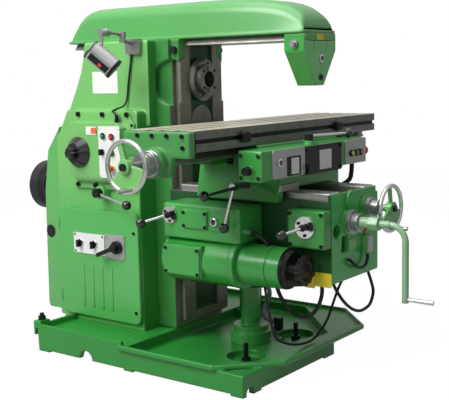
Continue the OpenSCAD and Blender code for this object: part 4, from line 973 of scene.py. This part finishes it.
# speed dial: flange, ribbed cone and a lobed knob
dialSet = {"place": (-0.322, 0.448, 0.879), "ribs": 40, "ribEdge": 0.0007, "ribHeight": 0.0012, "lobes": 8,
           "lobeDepth": 0.13, "smooth": 35,
           "body": [(0.066, 0.0), (0.068, 0.002), (0.068, 0.006), (0.066, 0.008), (0.065, 0.009)],
           "cone": [(0.0655, 0.0075), (0.0415, 0.0375)],
           "knob": [(0.022, 0.036), (0.0235, 0.038), (0.0235, 0.062), (0.0215, 0.0655), (0.017, 0.0662)]}


def buildSpeedDial():
    flangeDisc = turned(dialSet["body"], 64)
    cone = turned(dialSet["cone"], dialSet["ribs"] * 2)
    useOnly(cone)

    def isRib(face):  # every second face of the cone's side
        turn = math.atan2(face.center.y, face.center.x) / math.tau * dialSet["ribs"] * 2
        return abs(face.normal.z) < 0.8 and int(math.floor(turn)) % 2 == 0

    pickParts(cone.data, "FACE", isRib)
    bpy.ops.mesh.inset(thickness=dialSet["ribEdge"], depth=dialSet["ribHeight"], use_individual=True)
    editMode(False)
    knob = turned(dialSet["knob"], 96)
    for v in knob.data.vertices:
        turn = math.atan2(v.co.y, v.co.x)
        swell = 1 + dialSet["lobeDepth"] * math.cos(dialSet["lobes"] * turn)
        v.co.x *= swell
        v.co.y *= swell
    dial = joinAll([flangeDisc, cone, knob], "speedDial")
    stand(dial, dialSet["place"], "left")
    dress(dial, "ball")
    smoothShade(dial, dialSet["smooth"])
    rideOn(dial, "speed_dial", "black_plastic", "speed_dial")


buildSpeedDial()


def buildLampTrim():  # dark end bands, a strip and its switch on the bright shell
    mid, aim = lampSet["mid"], lampSet["aim"]
    lean = aim.to_track_quat("Z", "Y").to_euler()
    for finish, profile in lampSet["bands"].items():
        band = stand(turned(profile, 56), mid, lean)
        fitPiece(band, "lampBand_" + finish, finish, "lamp_head", "lamp_silver")
    out = Vector(lampSet["out"])
    out = (out - aim * out.dot(aim)).normalized()
    turn = Matrix((out.cross(aim), out, aim)).transposed().to_euler()
    for name, size, rounding, off, along, finish, slot in lampSet["blocks"]:
        piece = stand(block(size, rounding), mid + out * off + aim * along, turn)
        fitPiece(piece, name, finish, "lamp_head", slot)


buildLampTrim()

# bare plates and labels
plates = [
    ("feedChart", "front", (0.017, -0.6150, 0.860), (0.092, 0.078), "white", "saddle"),
    ("jogChart", "front", (-0.211, -0.6170, 0.854), (0.054, 0.062), "white", "saddle"),
    ("labelPatch", "left", (-0.3240, 0.350, 0.976), (0.026, 0.032), "orange", "frame"),
    ("armTag", "front", (0.0, -0.6050, 1.346), (0.050, 0.022), "yellow", "overarm"),
    ("kneeTag", "left", (-0.1880, -0.725, 0.413), (0.056, 0.073), "yellow", "knee"),
    ("kneeTagRear", "left", (-0.1880, -0.664, 0.4005), (0.050, 0.046), "yellow", "knee")]
plateSize = {"thick": 0.0012, "corner": 0.002}
for name, way, place, size, finish, body in plates:
    plate = stand(roundedPlate(*size, **plateSize), place, way)
    plate.name = name
    dress(plate, finish)
    rideOn(plate, body, "plate_metal")

# round trim: (radius to add, height) pairs
ringShapes = {"band": [(0, -0.0022), (0.0015, -0.0014), (0.0015, 0.0014), (0, 0.0022)],
              "collar": [(0, 0), (0, 0.0035), (-0.002, 0.005), (-0.0045, 0.005)],
              "lens": [(-0.0055, 0), (-0.0055, 0.0054), (-0.008, 0.0062)],
              "holeShade": [(0, 0), (0, 0.002), (-0.0023, 0.0032)]}


def ring(shape, r, vertices, place, way):
    return stand(turned([(r + more, h) for more, h in ringShapes[shape]], vertices), place, way)


# raised bands round the dials of the wheels and the crank: middle of the band and radius of the dial
dialBands = {"table_wheel": ("left", [((-0.7265, -0.334, 0.897), 0.046), ((-0.7435, -0.334, 0.897), 0.046),
                                      ((-0.7750, -0.334, 0.897), 0.040)]),
             "cross_wheel": ("front", [((0.085, -0.7745, 0.668), 0.038), ((0.085, -0.7875, 0.668), 0.038),
                                       ((0.085, -0.8210, 0.668), 0.029)]),
             "crank": ("front", [((-0.06, -0.7745, 0.628), 0.046), ((-0.06, -0.7875, 0.628), 0.046),
                                 ((-0.06, -0.8155, 0.628), 0.035)])}
for body, (way, rings) in dialBands.items():
    bands = [ring("band", r, 64, place, way) for place, r in rings]
    fitPiece(joinAll(bands, body + "_bands"), body + "_bands", "rim", body, "lever_steel")

# black disc inside the rear cover's hand hole: painted shade for the dark inside
holeShade = ring("holeShade", 0.0308, 48, (-0.2475, 0.732, 0.49), "left")
fitPiece(holeShade, "handHoleShade", "rubber", "frame", "black_plastic")

# chrome collars round the door's selectors, and sight glasses
collars = [("knobCollarLeft", "left", (-0.2940, 0.492, 0.463), 0.019, "door"),
           ("knobCollarRight", "left", (-0.2940, 0.404, 0.463), 0.019, "door"),
           ("boxSight", "front", (-0.318, -0.6195, 0.874), 0.016, "saddle"),
           ("feedSight", "left", (-0.3610, -0.330, 0.632), 0.017, "knee"),
           ("armSight", "front", (0.0, -0.6095, 1.262), 0.0155, "support")]
for name, way, place, r, body in collars:
    fitPiece(ring("collar", r, 40, place, way), name, "chrome", body, "lever_steel")
    if "Sight" in name:
        fitPiece(ring("lens", r, 32, place, way), name + "Lens", "ball", body, "black_plastic")


studShape = [(1, 0), (1, 0.0022), (0.84, 0.003), (0.5, 0.003), (0.5, 0.0012)]  # share of radius, height


def studRing(name, centre, way, reach, count, start, radius, body):  # small socket screws on a circle
    profile = [(radius * share, h) for share, h in studShape]
    pieces = []
    for i in range(count):
        a = start + math.tau * i / count
        across, up = math.cos(a) * reach, math.sin(a) * reach
        spread = Vector((0, across, up) if way == "left" else (across, 0, up))
        pieces.append(stand(turned(profile, 20), Vector(centre) + spread, way))
    fitPiece(joinAll(pieces, name), name, "screw", body, "machined_steel")


studRing("leverDiscScrews", (-0.2491, -0.678, 0.623), "left", 0.031, 3, 0.5, 0.0062, "knee")
studRing("feedDiscScrews", (-0.3591, -0.1, 0.646), "left", 0.027, 3, 0.5, 0.0055, "knee")
studRing("noseCoverScrews", (0.0, -0.0215, 1.187), "front", 0.0727, 6, 0.26, 0.0055, "frame")

# larger balls over the lever ends
for node, facts in levers.items():
    bpy.ops.mesh.primitive_uv_sphere_add(segments=32, ring_count=20, radius=ballSet["over"],
                                         location=facts["tip"])
    ball = settle(active(), node + "_ball")
    fitPiece(ball, ball.name, "ball", node, "black_plastic", edgeSet["round"])

# pressed ribs of the door
ribSet = {"size": (0.0075, 0.015, 0.199), "rounding": 0.0036, "x": -0.2893, "first": 0.4855, "pitch": 0.059,
          "rise": 0.1425}
doorLow = min(v.co.z for v in nodes["cabinet_door"].data.vertices)
for i in range(4):
    place = (ribSet["x"], ribSet["first"] - ribSet["pitch"] * i, doorLow + ribSet["rise"])
    rib = stand(block(ribSet["size"], ribSet["rounding"], 4), place, "up")
    fitPiece(rib, "doorRib" + str(i + 1), "sheetGreen", "door", "green_paint", edgeSet["round"])

print("dials, lamp trim and plates made")

# floor and lights: place, power and size of each light, and the shares of floor and sky seen in mirrors
stageSet = {"floor": 14, "floorColor": (0.45, 0.45, 0.44, 1), "floorGlow": 1.06, "floorShare": 0.93,
            "lights": {"keyLight": ((-3.6, 1.0, 3.9), 250, 3.0), "fillLight": ((-3.5, -4.5, 2.0), 16, 3.0),
                       "topLight": ((-0.6, -0.1, 4.6), 95, 3.5)},
            "aim": (0, 0, 0.8), "sky": 0.11, "mirrorLow": 0.38, "mirrorHigh": 1.0}


def areaLight(name, place, power, size):
    light = newObject(name, bpy.data.lights.new(name, "AREA"))
    light.data.energy = power
    light.data.size = size
    light.location = place
    light.rotation_euler = (Vector(stageSet["aim"]) - Vector(place)).to_track_quat("-Z", "Y").to_euler()


def seenBy(tree, mirror):  # whole for the camera and through glass, and the given share in mirrors
    path = addNode(tree, "LightPath").outputs
    seen = calc(tree, "MAXIMUM", path["Is Camera Ray"], path["Is Transmission Ray"])
    return calc(tree, "MAXIMUM", seen, calc(tree, "MULTIPLY", path["Is Glossy Ray"], mirror))


def floorMaterial():  # white where it is seen, and grey for the light that it throws back
    material = bpy.data.materials.new("paleFloor")
    material.use_nodes = True
    tree = material.node_tree
    tree.nodes.clear()
    matt = addNode(tree, "BsdfDiffuse", Color=stageSet["floorColor"])
    glow = addNode(tree, "Emission", Strength=stageSet["floorGlow"])
    share = calc(tree, "MULTIPLY", seenBy(tree, stageSet["mirrorLow"]), stageSet["floorShare"])
    mix = addNode(tree, "MixShader", {0: share, 1: matt.outputs[0], 2: glow.outputs[0]})
    addNode(tree, "OutputMaterial", {"Surface": mix.outputs[0]})
    return material


def buildStage():
    bpy.ops.mesh.primitive_plane_add(size=stageSet["floor"], location=(0, 0, 0))
    floor = active()
    floor.name = "floor"
    floor.data.materials.append(floorMaterial())
    for name, facts in stageSet["lights"].items():
        areaLight(name, *facts)
    world = bpy.data.worlds.new("studio")
    bpy.context.scene.world = world
    world.use_nodes = True
    tree = world.node_tree
    sky = tree.nodes["Background"].inputs
    look = addNode(tree, "TexCoord").outputs["Generated"]
    rise = addNode(tree, "SeparateXYZ", {"Vector": look}).outputs["Z"]
    glow = ramp(tree, rise, 0.15, 0.75, stageSet["mirrorLow"], stageSet["mirrorHigh"])  # hall lights above
    tree.links.new(calc(tree, "MAXIMUM", seenBy(tree, glow), stageSet["sky"]), sky["Strength"])
    sky["Color"].default_value = (1, 1, 1, 1)


buildStage()
bpy.context.scene.view_settings.view_transform = "Standard"
print("stage lit")
